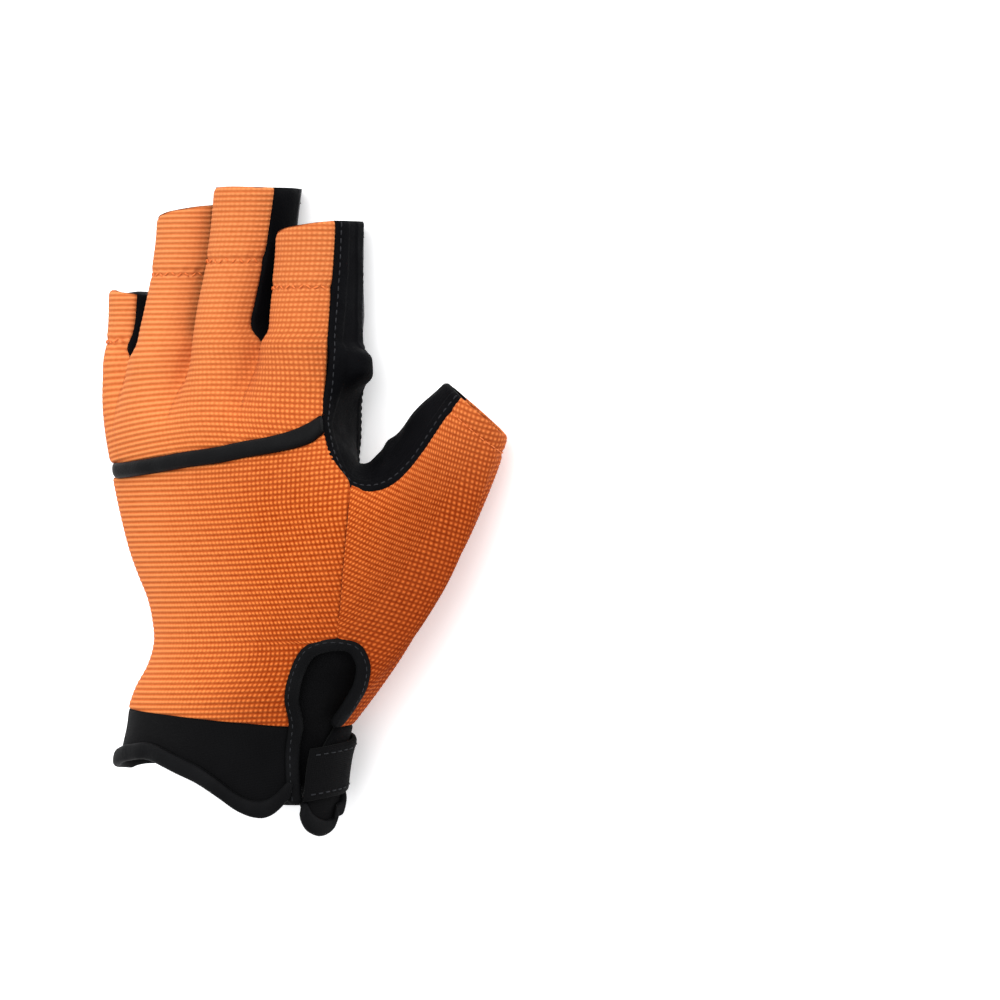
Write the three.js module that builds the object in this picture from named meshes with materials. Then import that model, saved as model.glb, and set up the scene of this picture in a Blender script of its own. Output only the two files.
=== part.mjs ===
import * as THREE from 'three';

// Fingerless trekking glove for a left hand, lying palm down, stuffed out as if worn.
// Millimetres. +X is the thumb side, +Y the fingertips, +Z the back of the hand, floor at z = 0.

// Wall thicknesses and gaps
const KNIT_WALL = 1.2;
const LEATHER_WALL = 1.2;
const CUFF_WALL = 1.9;
const BINDING_WALL = 2.2;
const BINDING_RISE = 0.4;
const SEAM_GAP = 0.5;
const INNER_BEVEL = 0.3;

// The origin is the middle of the whole glove on the floor.
const ORIGIN_X = 30.9;
const ORIGIN_Y = 85.773;

// Grid counts
const STRIP_COLUMNS = 5;
const SIDE_STEPS = 3;
const FINGER_ROWS = 6;
const THUMB_ROWS = 8;
const WEB_STEPS = 5;
const CUFF_ROWS = 4;

// Section of the hand across the glove: outermost left and right, top and underside.
const HAND = [
  { y: 0, left: -26.6, right: 43, top: 35.5, under: 4.6 },
  { y: 15, left: -25.4, right: 43.8, top: 35.5, under: 4.6 },
  { y: 22, left: -24, right: 45, top: 35.4, under: 4.6 },
  { y: 29, left: -22.2, right: 47.6, top: 35.6, under: 4.4 },
  { y: 34, left: -20.6, right: 50.4, top: 37, under: 3.6 },
  { y: 39, left: -18.2, right: 54.4, top: 37, under: 2 },
  { y: 47, left: -13.6, right: 60, top: 36.6, under: 0 },
  { y: 60, left: -14.2, right: 66, top: 36.6, under: -0.8 },
  { y: 72, left: -20, right: 69, top: 37, under: -0.8 },
  { y: 85, left: -24.4, right: 70, top: 37.4, under: -0.8 },
  { y: 97, left: -27.4, right: 66, top: 37.4, under: -0.8 },
  { y: 113, left: -30.4, right: 53, top: 36.4, under: -0.4 },
  { y: 130, left: -31.6, right: 50, top: 33.4, under: 0.4 },
];
const HAND_ROUNDNESS = 2.35;
const WAIST_SHARE = 0.46;
const BACK_LEAN = 0.1;

// Sections of the fingers: middle, half width and top, with the angles of the side seams.
const FINGERS = [
  {
    name: 'pinky', tip: 143.6, tipTilt: -1.2, backLeft: 185, backRight: 62, palmLeft: 185, palmRight: 332,
    rows: [
      { y: 125, x: -25.2, half: 6.8, top: 25.5 },
      { y: 132, x: -25.4, half: 7.6, top: 21 },
      { y: 144, x: -25.5, half: 8.3, top: 19 },
    ],
  },
  {
    name: 'ring', tip: 165, tipTilt: 1.5, backLeft: 155, backRight: 20, palmLeft: 205, palmRight: 332,
    rows: [
      { y: 126, x: -8.2, half: 9.2, top: 31.5 },
      { y: 136, x: -8, half: 9.4, top: 27.5 },
      { y: 144, x: -7.5, half: 9.3, top: 25 },
      { y: 152, x: -6.8, half: 9.3, top: 23 },
      { y: 166, x: -6.3, half: 9.4, top: 22 },
    ],
  },
  {
    name: 'middle', tip: 171, tipTilt: -0.6, backLeft: 155, backRight: 27, palmLeft: 205, palmRight: 332,
    rows: [
      { y: 130, x: 12.6, half: 10.2, top: 32.5 },
      { y: 140, x: 12.5, half: 10.2, top: 29.5 },
      { y: 149, x: 13.3, half: 10.3, top: 27 },
      { y: 158, x: 14, half: 10.3, top: 25 },
      { y: 172, x: 15.4, half: 10.9, top: 24 },
    ],
  },
  {
    name: 'index', tip: 160.2, tipTilt: 1.5, backLeft: 155, backRight: 29, palmLeft: 205, palmRight: 332,
    rows: [
      { y: 130, x: 36.6, half: 11, top: 30 },
      { y: 141, x: 35.8, half: 11, top: 27 },
      { y: 150, x: 35.7, half: 10.8, top: 25 },
      { y: 162, x: 35.8, half: 10.7, top: 24 },
    ],
  },
];
const FINGER_ROUNDNESS = 2.2;
const FINGER_UNDER = 0.5;
const FINGER_BLEND_FROM = 104;
const FINGER_BLEND_TO = 129;

// Ring at which the gap to the next finger begins, and how far the crotch bows toward the tips.
const GAPS = [
  { name: 'gusset_pinky_ring', ring: 18, bow: 2.2 },
  { name: 'gusset_ring_middle', ring: 19, bow: 2.5 },
  { name: 'gusset_middle_index', ring: 19, bow: 2.5 },
];

// Shares of the way across the hand at which one finger's strip ends and the next begins.
const BACK_SHARES = [0, 0.2, 0.455, 0.72, 1];
const PALM_SHARES = [0, 0.22, 0.46, 0.71, 1];

// Rings run from the cuff seam (0) to the finger bases (19). Height of each at the outer seam.
const PIPING_LOW = 12;
const PIPING_TOP = 14;
const BASE_RING = 19;
const WEB_RING = 10;
const KEYHOLE_RING = 4;
const OUTER_SEAM_ANGLE = 185;
const OUTER_SEAM = [
  { ring: 0, y: 34 },
  { ring: 12, y: 94 },
  { ring: 13, y: 96 },
  { ring: 14, y: 98 },
  { ring: 15, y: 108 },
  { ring: 16, y: 116 },
  { ring: 17, y: 121 },
  { ring: 18, y: 125.5 },
  { ring: 19, y: 129.5 },
];

// Thumb-side edge of the back: up the keyhole, the seam to the thumb, and the leather border.
const BACK_EDGE = [
  { ring: 0, y: 28.6, angle: 42 },
  { ring: 1, y: 36.6, angle: 51 },
  { ring: 2, y: 42.2, angle: 56 },
  { ring: 3, y: 50, angle: 55 },
  { ring: 4, y: 51.9, angle: 38.9 },
  { ring: 5, y: 58.6, angle: 42.2 },
  { ring: 7, y: 72, angle: 43.4 },
  { ring: 9, y: 85.4, angle: 41.4 },
  { ring: 10, y: 92.2, angle: 37.5 },
  { ring: 11, y: 98.5, angle: 41 },
  { ring: 12, y: 106, angle: 36 },
  { ring: 13, y: 108.3, angle: 33.5 },
  { ring: 14, y: 110.6, angle: 31 },
  { ring: 15, y: 115, angle: 28 },
  { ring: 17, y: 122, angle: 27 },
  { ring: 19, y: 129.5, angle: 28 },
];

// Piping line across the knuckles, its height by the distance across the hand.
const PIPING = [
  { x: -31, y: 98 },
  { x: -20, y: 98 },
  { x: -4.5, y: 99.3 },
  { x: 7.4, y: 100.8 },
  { x: 19.5, y: 102.1 },
  { x: 27.6, y: 103.4 },
  { x: 36.6, y: 105.2 },
  { x: 42, y: 107 },
  { x: 49.4, y: 110.6 },
];
const PIPING_WIDTH = 3.9;
const PIPING_BULGE = 0.9;

// Thumb-side edge of the palm leather, from the cuff seam to the finger base.
const PALM_EDGE = [
  { ring: 0, x: 0.7, y: 34 },
  { ring: 2, x: 1.2, y: 49 },
  { ring: 4, x: 6, y: 64 },
  { ring: 6, x: 14, y: 77.5 },
  { ring: 8, x: 25, y: 87.5 },
  { ring: 10, x: 37, y: 93 },
  { ring: 12, x: 39.6, y: 99.5 },
  { ring: 15, x: 42, y: 112 },
  { ring: 19, x: 45.4, y: 129.5 },
];

// Overlay seam across the palm, and the outline of the crescent patch round the thumb root.
const PALM_SEAM = [
  { x: -33, y: 93.5 },
  { x: -16, y: 97.5 },
  { x: -5, y: 102 },
  { x: 3, y: 108 },
  { x: 12, y: 117 },
  { x: 18, y: 124 },
  { x: 24.5, y: 131 },
  { x: 40, y: 160 },
];
const PATCH_MIDDLE = { x: 40, y: 70 };
const PATCH_OUTLINE = [
  { angle: 60, radius: 40 },
  { angle: 75, radius: 38.3 },
  { angle: 92, radius: 36.8 },
  { angle: 115, radius: 37.2 },
  { angle: 134, radius: 39.9 },
  { angle: 149, radius: 42.9 },
  { angle: 165, radius: 45.4 },
  { angle: 179, radius: 46.2 },
  { angle: 193, radius: 46 },
  { angle: 207, radius: 41 },
  { angle: 220, radius: 36 },
];

// Keyhole at the wrist: its thumb-side edge, and the line down the middle of the hole.
const KEYHOLE_EDGE = [
  { x: 60, y: 50.2, z: 27.5 },
  { x: 61.3, y: 45.6, z: 25.2 },
  { x: 59.5, y: 40.2, z: 23.4 },
  { x: 54.6, y: 34.6, z: 21.4 },
];
const KEYHOLE_MIDDLE = [
  { x: 51.5, y: 44.5, z: 31 },
  { x: 45.5, y: 28, z: 26 },
];
const KEYHOLE_BAND = 3.4;

// The same band runs down the cuff's slit: heights of its rows, and the side that it reaches toward.
const SLIT_ROWS = [8.2, 10, 12.2, 16.3, 20.4, 24.5, 26.6];
const SLIT_ANGLE = 20;
const SLIT_TURN = [1.2, 0.4];

// Thumb part of the cuff seam: angle at the seam and at the hem, which spreads into the tongue.
const CUFF_SEAM = [
  { angle: 5, hemAngle: 29, y: 28.6 },
  { angle: -5, hemAngle: 22, y: 28.8 },
  { angle: -15, hemAngle: 13, y: 29.2 },
  { angle: -26, hemAngle: 4, y: 29.7 },
  { angle: -40, hemAngle: -7, y: 30.4 },
  { angle: -58, hemAngle: -38, y: 31.6 },
  { angle: -80, hemAngle: -70, y: 33 },
];

// Hem of the cuff, its height round the wrist, over the palm to the tongue and over the back.
const PALM_HEM = [
  { angle: -178, y: 16.8 },
  { angle: -158, y: 17.8 },
  { angle: -140, y: 17.4 },
  { angle: -125, y: 15 },
  { angle: -110, y: 11.5 },
  { angle: -90, y: 8 },
  { angle: -70, y: 7.4 },
  { angle: -45, y: 9 },
  { angle: -15, y: 9.5 },
  { angle: -4, y: 6 },
  { angle: 4, y: 1.2 },
  { angle: 13, y: 0 },
  { angle: 22, y: 1.4 },
  { angle: 29, y: 6 },
];
const BACK_HEM = [
  { angle: 34, y: 7.8 },
  { angle: 40, y: 6 },
  { angle: 52, y: 4.9 },
  { angle: 64, y: 6.7 },
  { angle: 75, y: 10.4 },
  { angle: 95, y: 16.5 },
  { angle: 110, y: 19.4 },
  { angle: 132, y: 19 },
  { angle: 160, y: 17.2 },
  { angle: 182, y: 16.8 },
];
const BACK_SLIT_TURN = 8;
const HEM_BAND = 4.4;

// Thumb: the opening, and how the knit leaves each part of its root.
const THUMB_MOUTH = { x: 86.2, y: 112, z: 12, wide: 11.4, deep: 9.6 };
const THUMB_AXIS = { x: 0.56, y: 0.76, z: -0.34 };
const THUMB_WIDE_AXIS = { x: 0.806, y: -0.592, z: 0 };
const THUMB_PULL = 46;
const THUMB_ROOT = [
  { station: 0, omega: 92, swing: 0, x: 44, y: -20, z: -6 },
  { station: 3, omega: 66, swing: 0, x: 46, y: 4, z: -10 },
  { station: 6, omega: 36, swing: 0.3, x: 50, y: 26, z: -18 },
  { station: 8, omega: 20, swing: 0.7, x: 62, y: 40, z: -34 },
  { station: 11, omega: -5, swing: 1, x: 56, y: 72, z: -14 },
  { station: 14, omega: -34, swing: 1, x: 68, y: 66, z: -2 },
  { station: 18, omega: -66, swing: 0.6, x: 48, y: 36, z: -3 },
  { station: 22, omega: -94, swing: 0.2, x: 48, y: 9, z: -4 },
  { station: 26, omega: -121, swing: 0.1, x: 42, y: 7, z: -7 },
  { station: 27, omega: -128, swing: 0.1, x: 38, y: 9, z: -7 },
  { station: 28, omega: -135, swing: 0, x: 32, y: 17, z: 10 },
];
const THUMB_SWING = { x: -26, y: 8 };

// How far the web of leather bows out between its two borders, from the index tip to the thumb.
const WEB_BOW = [
  { station: 6, x: 3, y: 0, z: 0 },
  { station: 7, x: 7.4, y: 0, z: 0 },
  { station: 8, x: 7, y: 0, z: 0 },
  { station: 9, x: 4.6, y: 0, z: 0 },
  { station: 11, x: 1.4, y: 0, z: 0 },
  { station: 13, x: 1, y: 3, z: -1 },
  { station: 14.5, x: 2, y: 5.6, z: -1 },
  { station: 16, x: 1.4, y: 6.8, z: -1.5 },
  { station: 18, x: -1.8, y: 7, z: -2 },
  { station: 20, x: -4.4, y: 7.6, z: -1.5 },
  { station: 22, x: -5.8, y: 5.6, z: -1 },
  { station: 23, x: -6, y: 4.4, z: -0.5 },
];

// Strap from the edge of the slit round the thumb side to the palm, and the patch that it closes on.
const STRAP = [
  { angle: 25, y: 16.2, lift: 0.6 },
  { angle: 17, y: 16.8, lift: 0.8 },
  { angle: -29, y: 20, lift: 0.8 },
  { angle: -60, y: 21.6, lift: 0.8 },
  { angle: -85, y: 22.8, lift: 1.2 },
  { angle: -96, y: 23.4, lift: 1.8 },
  { angle: -112, y: 23.6, lift: 1.8 },
];
const STRAP_WIDTH = 14.2;
const STRAP_WALL = 1.3;
const STRAP_STEPS = 18;
const LOOP_PATCH = { fromAngle: -94, toAngle: -119, low: 20, high: 31, lift: 0.4, wall: 1 };

// Dark stretch piece behind the keyhole and the slit.
const SLIT_GUSSET = { fromAngle: 58, toAngle: -12, low: 12, high: 56, depth: 2.8, wall: 1 };

const radians = THREE.MathUtils.degToRad;
const mix = THREE.MathUtils.lerp;
const smoothstep = THREE.MathUtils.smoothstep;
const vector = (x, y, z) => new THREE.Vector3(x, y, z);

// Smooth curve through a table's rows: the value in `column` where `key` has the value `at`.
function read(table, key, column, at) {
  const last = table.length - 1;
  const place = THREE.MathUtils.clamp(at, table[0][key], table[last][key]);
  let low = 0;
  while (low < last - 1 && place > table[low + 1][key]) low += 1;
  const span = (i) => table[i + 1][key] - table[i][key];
  const slope = (i) => (table[i + 1][column] - table[i][column]) / span(i);
  const tangent = (i) => {
    if (i === 0) return slope(0);
    if (i === last) return slope(last - 1);
    const share = span(i) / (span(i) + span(i - 1));
    return slope(i - 1) * share + slope(i) * (1 - share);
  };
  const t = (place - table[low][key]) / span(low);
  const rise = t * t * (3 - 2 * t);
  return mix(table[low][column], table[low + 1][column], rise)
    + span(low) * (t * (1 - t) * (1 - t) * tangent(low) - t * t * (1 - t) * tangent(low + 1));
}

const readVector = (table, key, at) => vector(
  read(table, key, 'x', at), read(table, key, 'y', at), read(table, key, 'z', at));

// Point of a rounded box outline at an angle from +X: its cosine and sine, flattened.
function roundedBox(angle, roundness) {
  const flatten = (value) => Math.sign(value) * Math.abs(value) ** (2 / roundness);
  return { across: flatten(Math.cos(radians(angle))), up: flatten(Math.sin(radians(angle))) };
}

function handPoint(y, angle) {
  const left = read(HAND, 'y', 'left', y);
  const right = read(HAND, 'y', 'right', y);
  const top = read(HAND, 'y', 'top', y);
  const under = read(HAND, 'y', 'under', y);
  const waist = top * WAIST_SHARE;
  const { across, up } = roundedBox(angle, HAND_ROUNDNESS);
  const height = up > 0 ? (top - waist) * up * (1 + BACK_LEAN * across) : (waist - under) * up;
  return vector(mix(left, right, 0.5 + across / 2), y, Math.max(waist + height, 0));
}

function handNormal(y, angle) {
  const along = handPoint(y + 0.5, angle).sub(handPoint(y - 0.5, angle));
  const around = handPoint(y, angle + 0.5).sub(handPoint(y, angle - 0.5));
  return along.cross(around).normalize();
}

// Angle of the underside point of the hand section at a given distance across.
function underAngle(y, x) {
  const left = read(HAND, 'y', 'left', y);
  const right = read(HAND, 'y', 'right', y);
  const across = THREE.MathUtils.clamp((2 * x - left - right) / (right - left), -1, 1);
  const cosine = Math.sign(across) * Math.abs(across) ** (HAND_ROUNDNESS / 2);
  return 360 - THREE.MathUtils.radToDeg(Math.acos(cosine));
}

function fingerPoint(finger, y, angle) {
  const x = read(finger.rows, 'y', 'x', y);
  const half = read(finger.rows, 'y', 'half', y);
  const top = read(finger.rows, 'y', 'top', y);
  const { across, up } = roundedBox(angle, FINGER_ROUNDNESS);
  return vector(x + half * across, y, mix(FINGER_UNDER, top, 0.5 + up / 2));
}

// Angle at a share of the arc length between two angles of a section.
function shareOfArc(section, from, to, share) {
  const steps = 24;
  const lengths = [0];
  let before = section(from);
  for (let i = 1; i <= steps; i += 1) {
    const point = section(mix(from, to, i / steps));
    lengths.push(lengths[i - 1] + point.distanceTo(before));
    before = point;
  }
  const wanted = share * lengths[steps];
  let i = 1;
  while (i < steps && lengths[i] < wanted) i += 1;
  const part = (wanted - lengths[i - 1]) / (lengths[i] - lengths[i - 1]);
  return mix(from, to, (i - 1 + part) / steps);
}

// Share across the hand of a column, counted over the four finger strips.
function columnShare(shares, column) {
  const strip = Math.min(Math.floor(column / STRIP_COLUMNS), 3);
  return mix(shares[strip], shares[strip + 1], column / STRIP_COLUMNS - strip);
}

// Back of the hand and palm without the fingers, by ring and column.
function backPoint(ring, column) {
  const share = columnShare(BACK_SHARES, column);
  const edgeAngle = read(BACK_EDGE, 'ring', 'angle', ring);
  let y = mix(read(OUTER_SEAM, 'ring', 'y', ring), read(BACK_EDGE, 'ring', 'y', ring), share);
  const angle = shareOfArc((a) => handPoint(y, a), OUTER_SEAM_ANGLE, edgeAngle, share);
  if (ring > WEB_RING && ring < BASE_RING) {
    const pipingTop = read(PIPING, 'x', 'y', handPoint(105, angle).x);
    if (ring <= PIPING_LOW) {
      const start = mix(read(OUTER_SEAM, 'ring', 'y', WEB_RING), BACK_EDGE[6].y, share);
      y = mix(start, pipingTop - PIPING_WIDTH, (ring - WEB_RING) / (PIPING_LOW - WEB_RING));
    } else if (ring <= PIPING_TOP) {
      y = pipingTop - PIPING_WIDTH * (PIPING_TOP - ring) / (PIPING_TOP - PIPING_LOW);
    } else {
      const flat = mix(98, BACK_EDGE[10].y, share);
      y += (pipingTop - flat) * (BASE_RING - ring) / (BASE_RING - PIPING_TOP);
    }
    if (share === 1) y = read(BACK_EDGE, 'ring', 'y', ring);
    if (share === 0) y = read(OUTER_SEAM, 'ring', 'y', ring);
  }
  const point = handPoint(y, angle);
  if (ring === PIPING_LOW + 1) point.addScaledVector(handNormal(y, angle), PIPING_BULGE);
  return point;
}

function palmPoint(ring, column) {
  const share = columnShare(PALM_SHARES, column);
  const edgeX = read(PALM_EDGE, 'ring', 'x', ring);
  const edgeY = read(PALM_EDGE, 'ring', 'y', ring);
  const outerY = read(OUTER_SEAM, 'ring', 'y', ring);
  const edgeAngle = underAngle(edgeY, edgeX);
  const y = mix(outerY, edgeY, share);
  return handPoint(y, shareOfArc((a) => handPoint(y, a), OUTER_SEAM_ANGLE, edgeAngle, share));
}

// Side of a finger, back or palm, as columns across its strip at a height.
function fingerColumns(finger, y, from, to, tilt) {
  return Array.from({ length: STRIP_COLUMNS + 1 }, (_, column) => {
    const share = column / STRIP_COLUMNS;
    const angle = shareOfArc((a) => fingerPoint(finger, y, a), from, to, share);
    return fingerPoint(finger, y + tilt * Math.cos(radians(angle)), angle);
  });
}

// Rows of one finger's strip from the piping (back) or the palm to its tip. Below the gap the
// neighbours' edges are drawn together, and the bend into the finger grows from the knuckles up.
function stripRows(side, firstRing) {
  const onBack = side === 'back';
  const rings = [];
  for (let ring = firstRing; ring <= BASE_RING; ring += 1) rings.push(ring);
  const strips = FINGERS.map((finger, number) => {
    const from = onBack ? finger.backLeft : finger.palmLeft;
    const to = onBack ? finger.backRight : finger.palmRight;
    const rows = rings.map((ring) => Array.from({ length: STRIP_COLUMNS + 1 }, (_, column) => {
      const whole = number * STRIP_COLUMNS + column;
      const flat = onBack ? backPoint(ring, whole) : palmPoint(ring, whole);
      const bend = smoothstep(flat.y, FINGER_BLEND_FROM, FINGER_BLEND_TO);
      if (bend === 0) return flat;
      const section = (a) => fingerPoint(finger, flat.y, a);
      const angle = shareOfArc(section, from, to, column / STRIP_COLUMNS);
      return flat.lerp(section(angle), bend);
    }));
    for (let row = 1; row <= FINGER_ROWS; row += 1) {
      const rise = (row / FINGER_ROWS) ** 1.25;
      const y = mix(BACK_EDGE[BACK_EDGE.length - 1].y, finger.tip, rise);
      rows.push(fingerColumns(finger, y, from, to, finger.tipTilt * rise));
    }
    return rows;
  });
  GAPS.forEach((gap, number) => {
    for (let row = 0; row <= gap.ring - firstRing; row += 1) {
      const leftEdge = strips[number][row][STRIP_COLUMNS];
      const rightEdge = strips[number + 1][row][0];
      const middle = leftEdge.clone().lerp(rightEdge, 0.5);
      drawTogether(strips[number][row], middle.clone().sub(leftEdge), true);
      drawTogether(strips[number + 1][row], middle.clone().sub(rightEdge), false);
    }
  });
  return strips;
}

// Moves one end of a row of points by an offset that fades toward the other end.
function drawTogether(row, offset, atEnd) {
  row.forEach((point, column) => {
    const share = column / (row.length - 1);
    const nearness = atEnd ? share : 1 - share;
    point.addScaledVector(offset, nearness ** 3);
  });
}

// Strip round the gap between two fingers, from one tip down to the crotch and up to the next.
function gussetRows(gap, number, backStrips, palmStrips) {
  const edge = (strips, strip, column, firstRing) => strips[strip]
    .slice(gap.ring - firstRing)
    .map((row) => row[column]);
  const around = (strips, firstRing) => [
    ...edge(strips, number, STRIP_COLUMNS, firstRing).reverse(),
    ...edge(strips, number + 1, 0, firstRing).slice(1),
  ];
  const backEdge = around(backStrips, PIPING_TOP);
  const palmEdge = around(palmStrips, 0);
  const crotch = (backEdge.length - 1) / 2;
  return backEdge.map((backEnd, station) => {
    const palmEnd = palmEdge[station];
    const onLeft = station < crotch;
    const finger = FINGERS[onLeft ? number : number + 1];
    const from = onLeft ? finger.backRight : finger.backLeft;
    const to = onLeft ? finger.palmRight - 360 : finger.palmLeft;
    return Array.from({ length: SIDE_STEPS + 1 }, (_, step) => {
      const share = step / SIDE_STEPS;
      if (station === crotch) {
        const point = backEnd.clone().lerp(palmEnd, share);
        point.y += gap.bow * Math.sin(Math.PI * share);
        return point;
      }
      if (share === 0) return backEnd;
      if (share === 1) return palmEnd;
      const y = mix(backEnd.y, palmEnd.y, share);
      const wall = fingerPoint(finger, y, mix(from, to, share));
      const straight = backEnd.clone().lerp(palmEnd, share);
      const start = fingerPoint(finger, backEnd.y, from).lerp(fingerPoint(finger, palmEnd.y, to), share);
      return wall.add(straight.sub(start));
    });
  });
}

// Root of the thumb, a path round its base from the web, down the back, round to the palm.
function thumbRoot() {
  const root = [];
  for (let ring = WEB_RING; ring >= KEYHOLE_RING; ring -= 1) root.push(backPoint(ring, 4 * STRIP_COLUMNS));
  KEYHOLE_EDGE.forEach((place) => root.push(vector(place.x, place.y, place.z)));
  CUFF_SEAM.forEach((place) => root.push(handPoint(place.y, place.angle)));
  for (let ring = 0; ring <= WEB_RING; ring += 1) root.push(palmPoint(ring, 4 * STRIP_COLUMNS));
  return root;
}

function thumbMouth(omega) {
  const axis = vector(THUMB_AXIS.x, THUMB_AXIS.y, THUMB_AXIS.z).normalize();
  const wide = vector(THUMB_WIDE_AXIS.x, THUMB_WIDE_AXIS.y, THUMB_WIDE_AXIS.z);
  const deep = wide.clone().cross(axis).normalize();
  return vector(THUMB_MOUTH.x, THUMB_MOUTH.y, THUMB_MOUTH.z)
    .addScaledVector(wide, THUMB_MOUTH.wide * Math.cos(radians(omega)))
    .addScaledVector(deep, THUMB_MOUTH.deep * Math.sin(radians(omega)));
}

// Knit of the thumb: smooth lines that leave the root and arrive along the thumb at its mouth.
function thumbRows() {
  const pull = vector(THUMB_AXIS.x, THUMB_AXIS.y, THUMB_AXIS.z).normalize().multiplyScalar(THUMB_PULL);
  const root = thumbRoot();
  return root.map((start, station) => {
    const end = thumbMouth(read(THUMB_ROOT, 'station', 'omega', station));
    const swing = read(THUMB_ROOT, 'station', 'swing', station);
    const arrive = pull.clone().add(vector(THUMB_SWING.x * swing, THUMB_SWING.y * swing, 0));
    const leave = readVector(THUMB_ROOT, 'station', station);
    return Array.from({ length: THUMB_ROWS + 1 }, (_, row) => {
      const s = row / THUMB_ROWS;
      const rise = s * s * (3 - 2 * s);
      const point = start.clone().lerp(end, rise);
      point.addScaledVector(leave, s * (1 - s) * (1 - s));
      point.addScaledVector(arrive, -s * s * (1 - s));
      point.z = Math.max(point.z, 0);
      return point;
    });
  });
}

// Leather web: from the index tip down its side, round the crotch and up the thumb.
function webRows(backStrips, palmStrips, thumb) {
  const index = FINGERS[3];
  const border = (strips, firstRing) => strips[3].slice(WEB_RING - firstRing < 0 ? 0 : WEB_RING - firstRing)
    .map((row) => row[STRIP_COLUMNS]).reverse();
  const backBorder = border(backStrips, PIPING_TOP);
  for (let ring = PIPING_TOP - 1; ring >= WEB_RING; ring -= 1) {
    backBorder.push(backPoint(ring, 4 * STRIP_COLUMNS));
  }
  const palmBorder = border(palmStrips, 0);
  backBorder.push(...thumb[0].slice(1));
  palmBorder.push(...thumb[thumb.length - 1].slice(1));
  return backBorder.map((backEnd, station) => {
    const palmEnd = palmBorder[station];
    const bow = readVector(WEB_BOW, 'station', station);
    return Array.from({ length: WEB_STEPS + 1 }, (_, step) => {
      const share = step / WEB_STEPS;
      if (share === 0) return backEnd;
      if (share === 1) return palmEnd;
      const straight = backEnd.clone().lerp(palmEnd, share);
      if (station <= FINGER_ROWS) {
        const to = index.palmRight - 360;
        const wall = fingerPoint(index, straight.y, mix(index.backRight, to, share));
        const start = fingerPoint(index, backEnd.y, index.backRight)
          .lerp(fingerPoint(index, palmEnd.y, to), share);
        return wall.add(straight.sub(start));
      }
      const point = straight.addScaledVector(bow, Math.sin(Math.PI * share));
      point.z = Math.max(point.z, 0.2);
      return point;
    });
  });
}

// Cuff columns round the wrist from the slit over the back, the outer side and the palm.
function cuffColumns() {
  const columns = [];
  for (let column = 4 * STRIP_COLUMNS; column >= 0; column -= 1) {
    const share = columnShare(BACK_SHARES, column);
    const y = mix(OUTER_SEAM[0].y, BACK_EDGE[0].y, share);
    const angle = shareOfArc((a) => handPoint(y, a), OUTER_SEAM_ANGLE, BACK_EDGE[0].angle, share);
    const hemAngle = angle - BACK_SLIT_TURN * share ** 6;
    columns.push({ top: backPoint(0, column), y, angle, hemAngle, hem: read(BACK_HEM, 'angle', 'y', hemAngle) });
  }
  for (let column = 1; column <= 4 * STRIP_COLUMNS; column += 1) {
    const top = palmPoint(0, column);
    const share = columnShare(PALM_SHARES, column);
    const edgeAngle = underAngle(PALM_EDGE[0].y, PALM_EDGE[0].x);
    const angle = shareOfArc((a) => handPoint(top.y, a), OUTER_SEAM_ANGLE, edgeAngle, share);
    columns.push({ top, y: top.y, angle, hemAngle: angle, hem: read(PALM_HEM, 'angle', 'y', angle - 360) });
  }
  [...CUFF_SEAM].reverse().forEach((place) => columns.push({
    top: handPoint(place.y, place.angle),
    y: place.y,
    angle: place.angle,
    hemAngle: place.hemAngle,
    hem: read(PALM_HEM, 'angle', 'y', place.hemAngle),
  }));
  return columns;
}

function cuffPoint(column, y) {
  const share = (column.y - y) / (column.y - column.hem);
  if (share === 0) return column.top;
  return handPoint(y, mix(column.angle, column.hemAngle, share));
}

const cuffRows = () => cuffColumns().map((column) => Array.from({ length: CUFF_ROWS + 1 },
  (_, row) => cuffPoint(column, mix(column.y, column.hem + HEM_BAND, row / CUFF_ROWS))));

const hemRows = () => cuffColumns().map((column) => [0, 1, 2].map(
  (row) => cuffPoint(column, column.hem + HEM_BAND * (1 - row / 2))));

// Leather binding up the slit and round the keyhole, a band from its edge toward the middle.
function keyholeRows() {
  const slit = cuffColumns()[0];
  const edge = SLIT_ROWS.map((y) => cuffPoint(slit, y));
  const turning = SLIT_ROWS.length - SLIT_TURN.length;
  for (let ring = 0; ring < KEYHOLE_RING; ring += 1) edge.push(backPoint(ring, 4 * STRIP_COLUMNS));
  const thumbSide = thumbRoot().slice(WEB_RING - KEYHOLE_RING, WEB_RING - KEYHOLE_RING + 6);
  edge.push(...thumbSide);
  const [upper, lower] = KEYHOLE_MIDDLE.map((place) => vector(place.x, place.y, place.z));
  const middleLine = new THREE.Line3(lower, upper);
  const across = SLIT_ROWS.map((y, row) => handPoint(y, SLIT_ANGLE).sub(edge[row]).setY(0).normalize());
  return edge.map((point, row) => {
    const nearest = middleLine.closestPointToPoint(point, true, vector(0, 0, 0));
    const inward = nearest.sub(point).normalize();
    if (row < turning) inward.copy(across[row]);
    else if (row < SLIT_ROWS.length) inward.addScaledVector(across[turning - 1], SLIT_TURN[row - turning]);
    inward.setLength(KEYHOLE_BAND);
    return [0, 1].map((share) => point.clone().addScaledVector(inward, share));
  });
}

function strapRows() {
  const first = STRAP[0].angle;
  const last = STRAP[STRAP.length - 1].angle;
  const table = STRAP.map((row) => ({ ...row, way: first - row.angle }));
  return Array.from({ length: STRAP_STEPS + 1 }, (_, step) => {
    const way = (first - last) * step / STRAP_STEPS;
    const middle = read(table, 'way', 'y', way);
    const lift = read(table, 'way', 'lift', way);
    return [-0.5, -0.17, 0.17, 0.5].map((across) => {
      const y = middle + across * STRAP_WIDTH;
      return handPoint(y, first - way).addScaledVector(handNormal(y, first - way), lift + STRAP_WALL);
    });
  });
}

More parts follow.
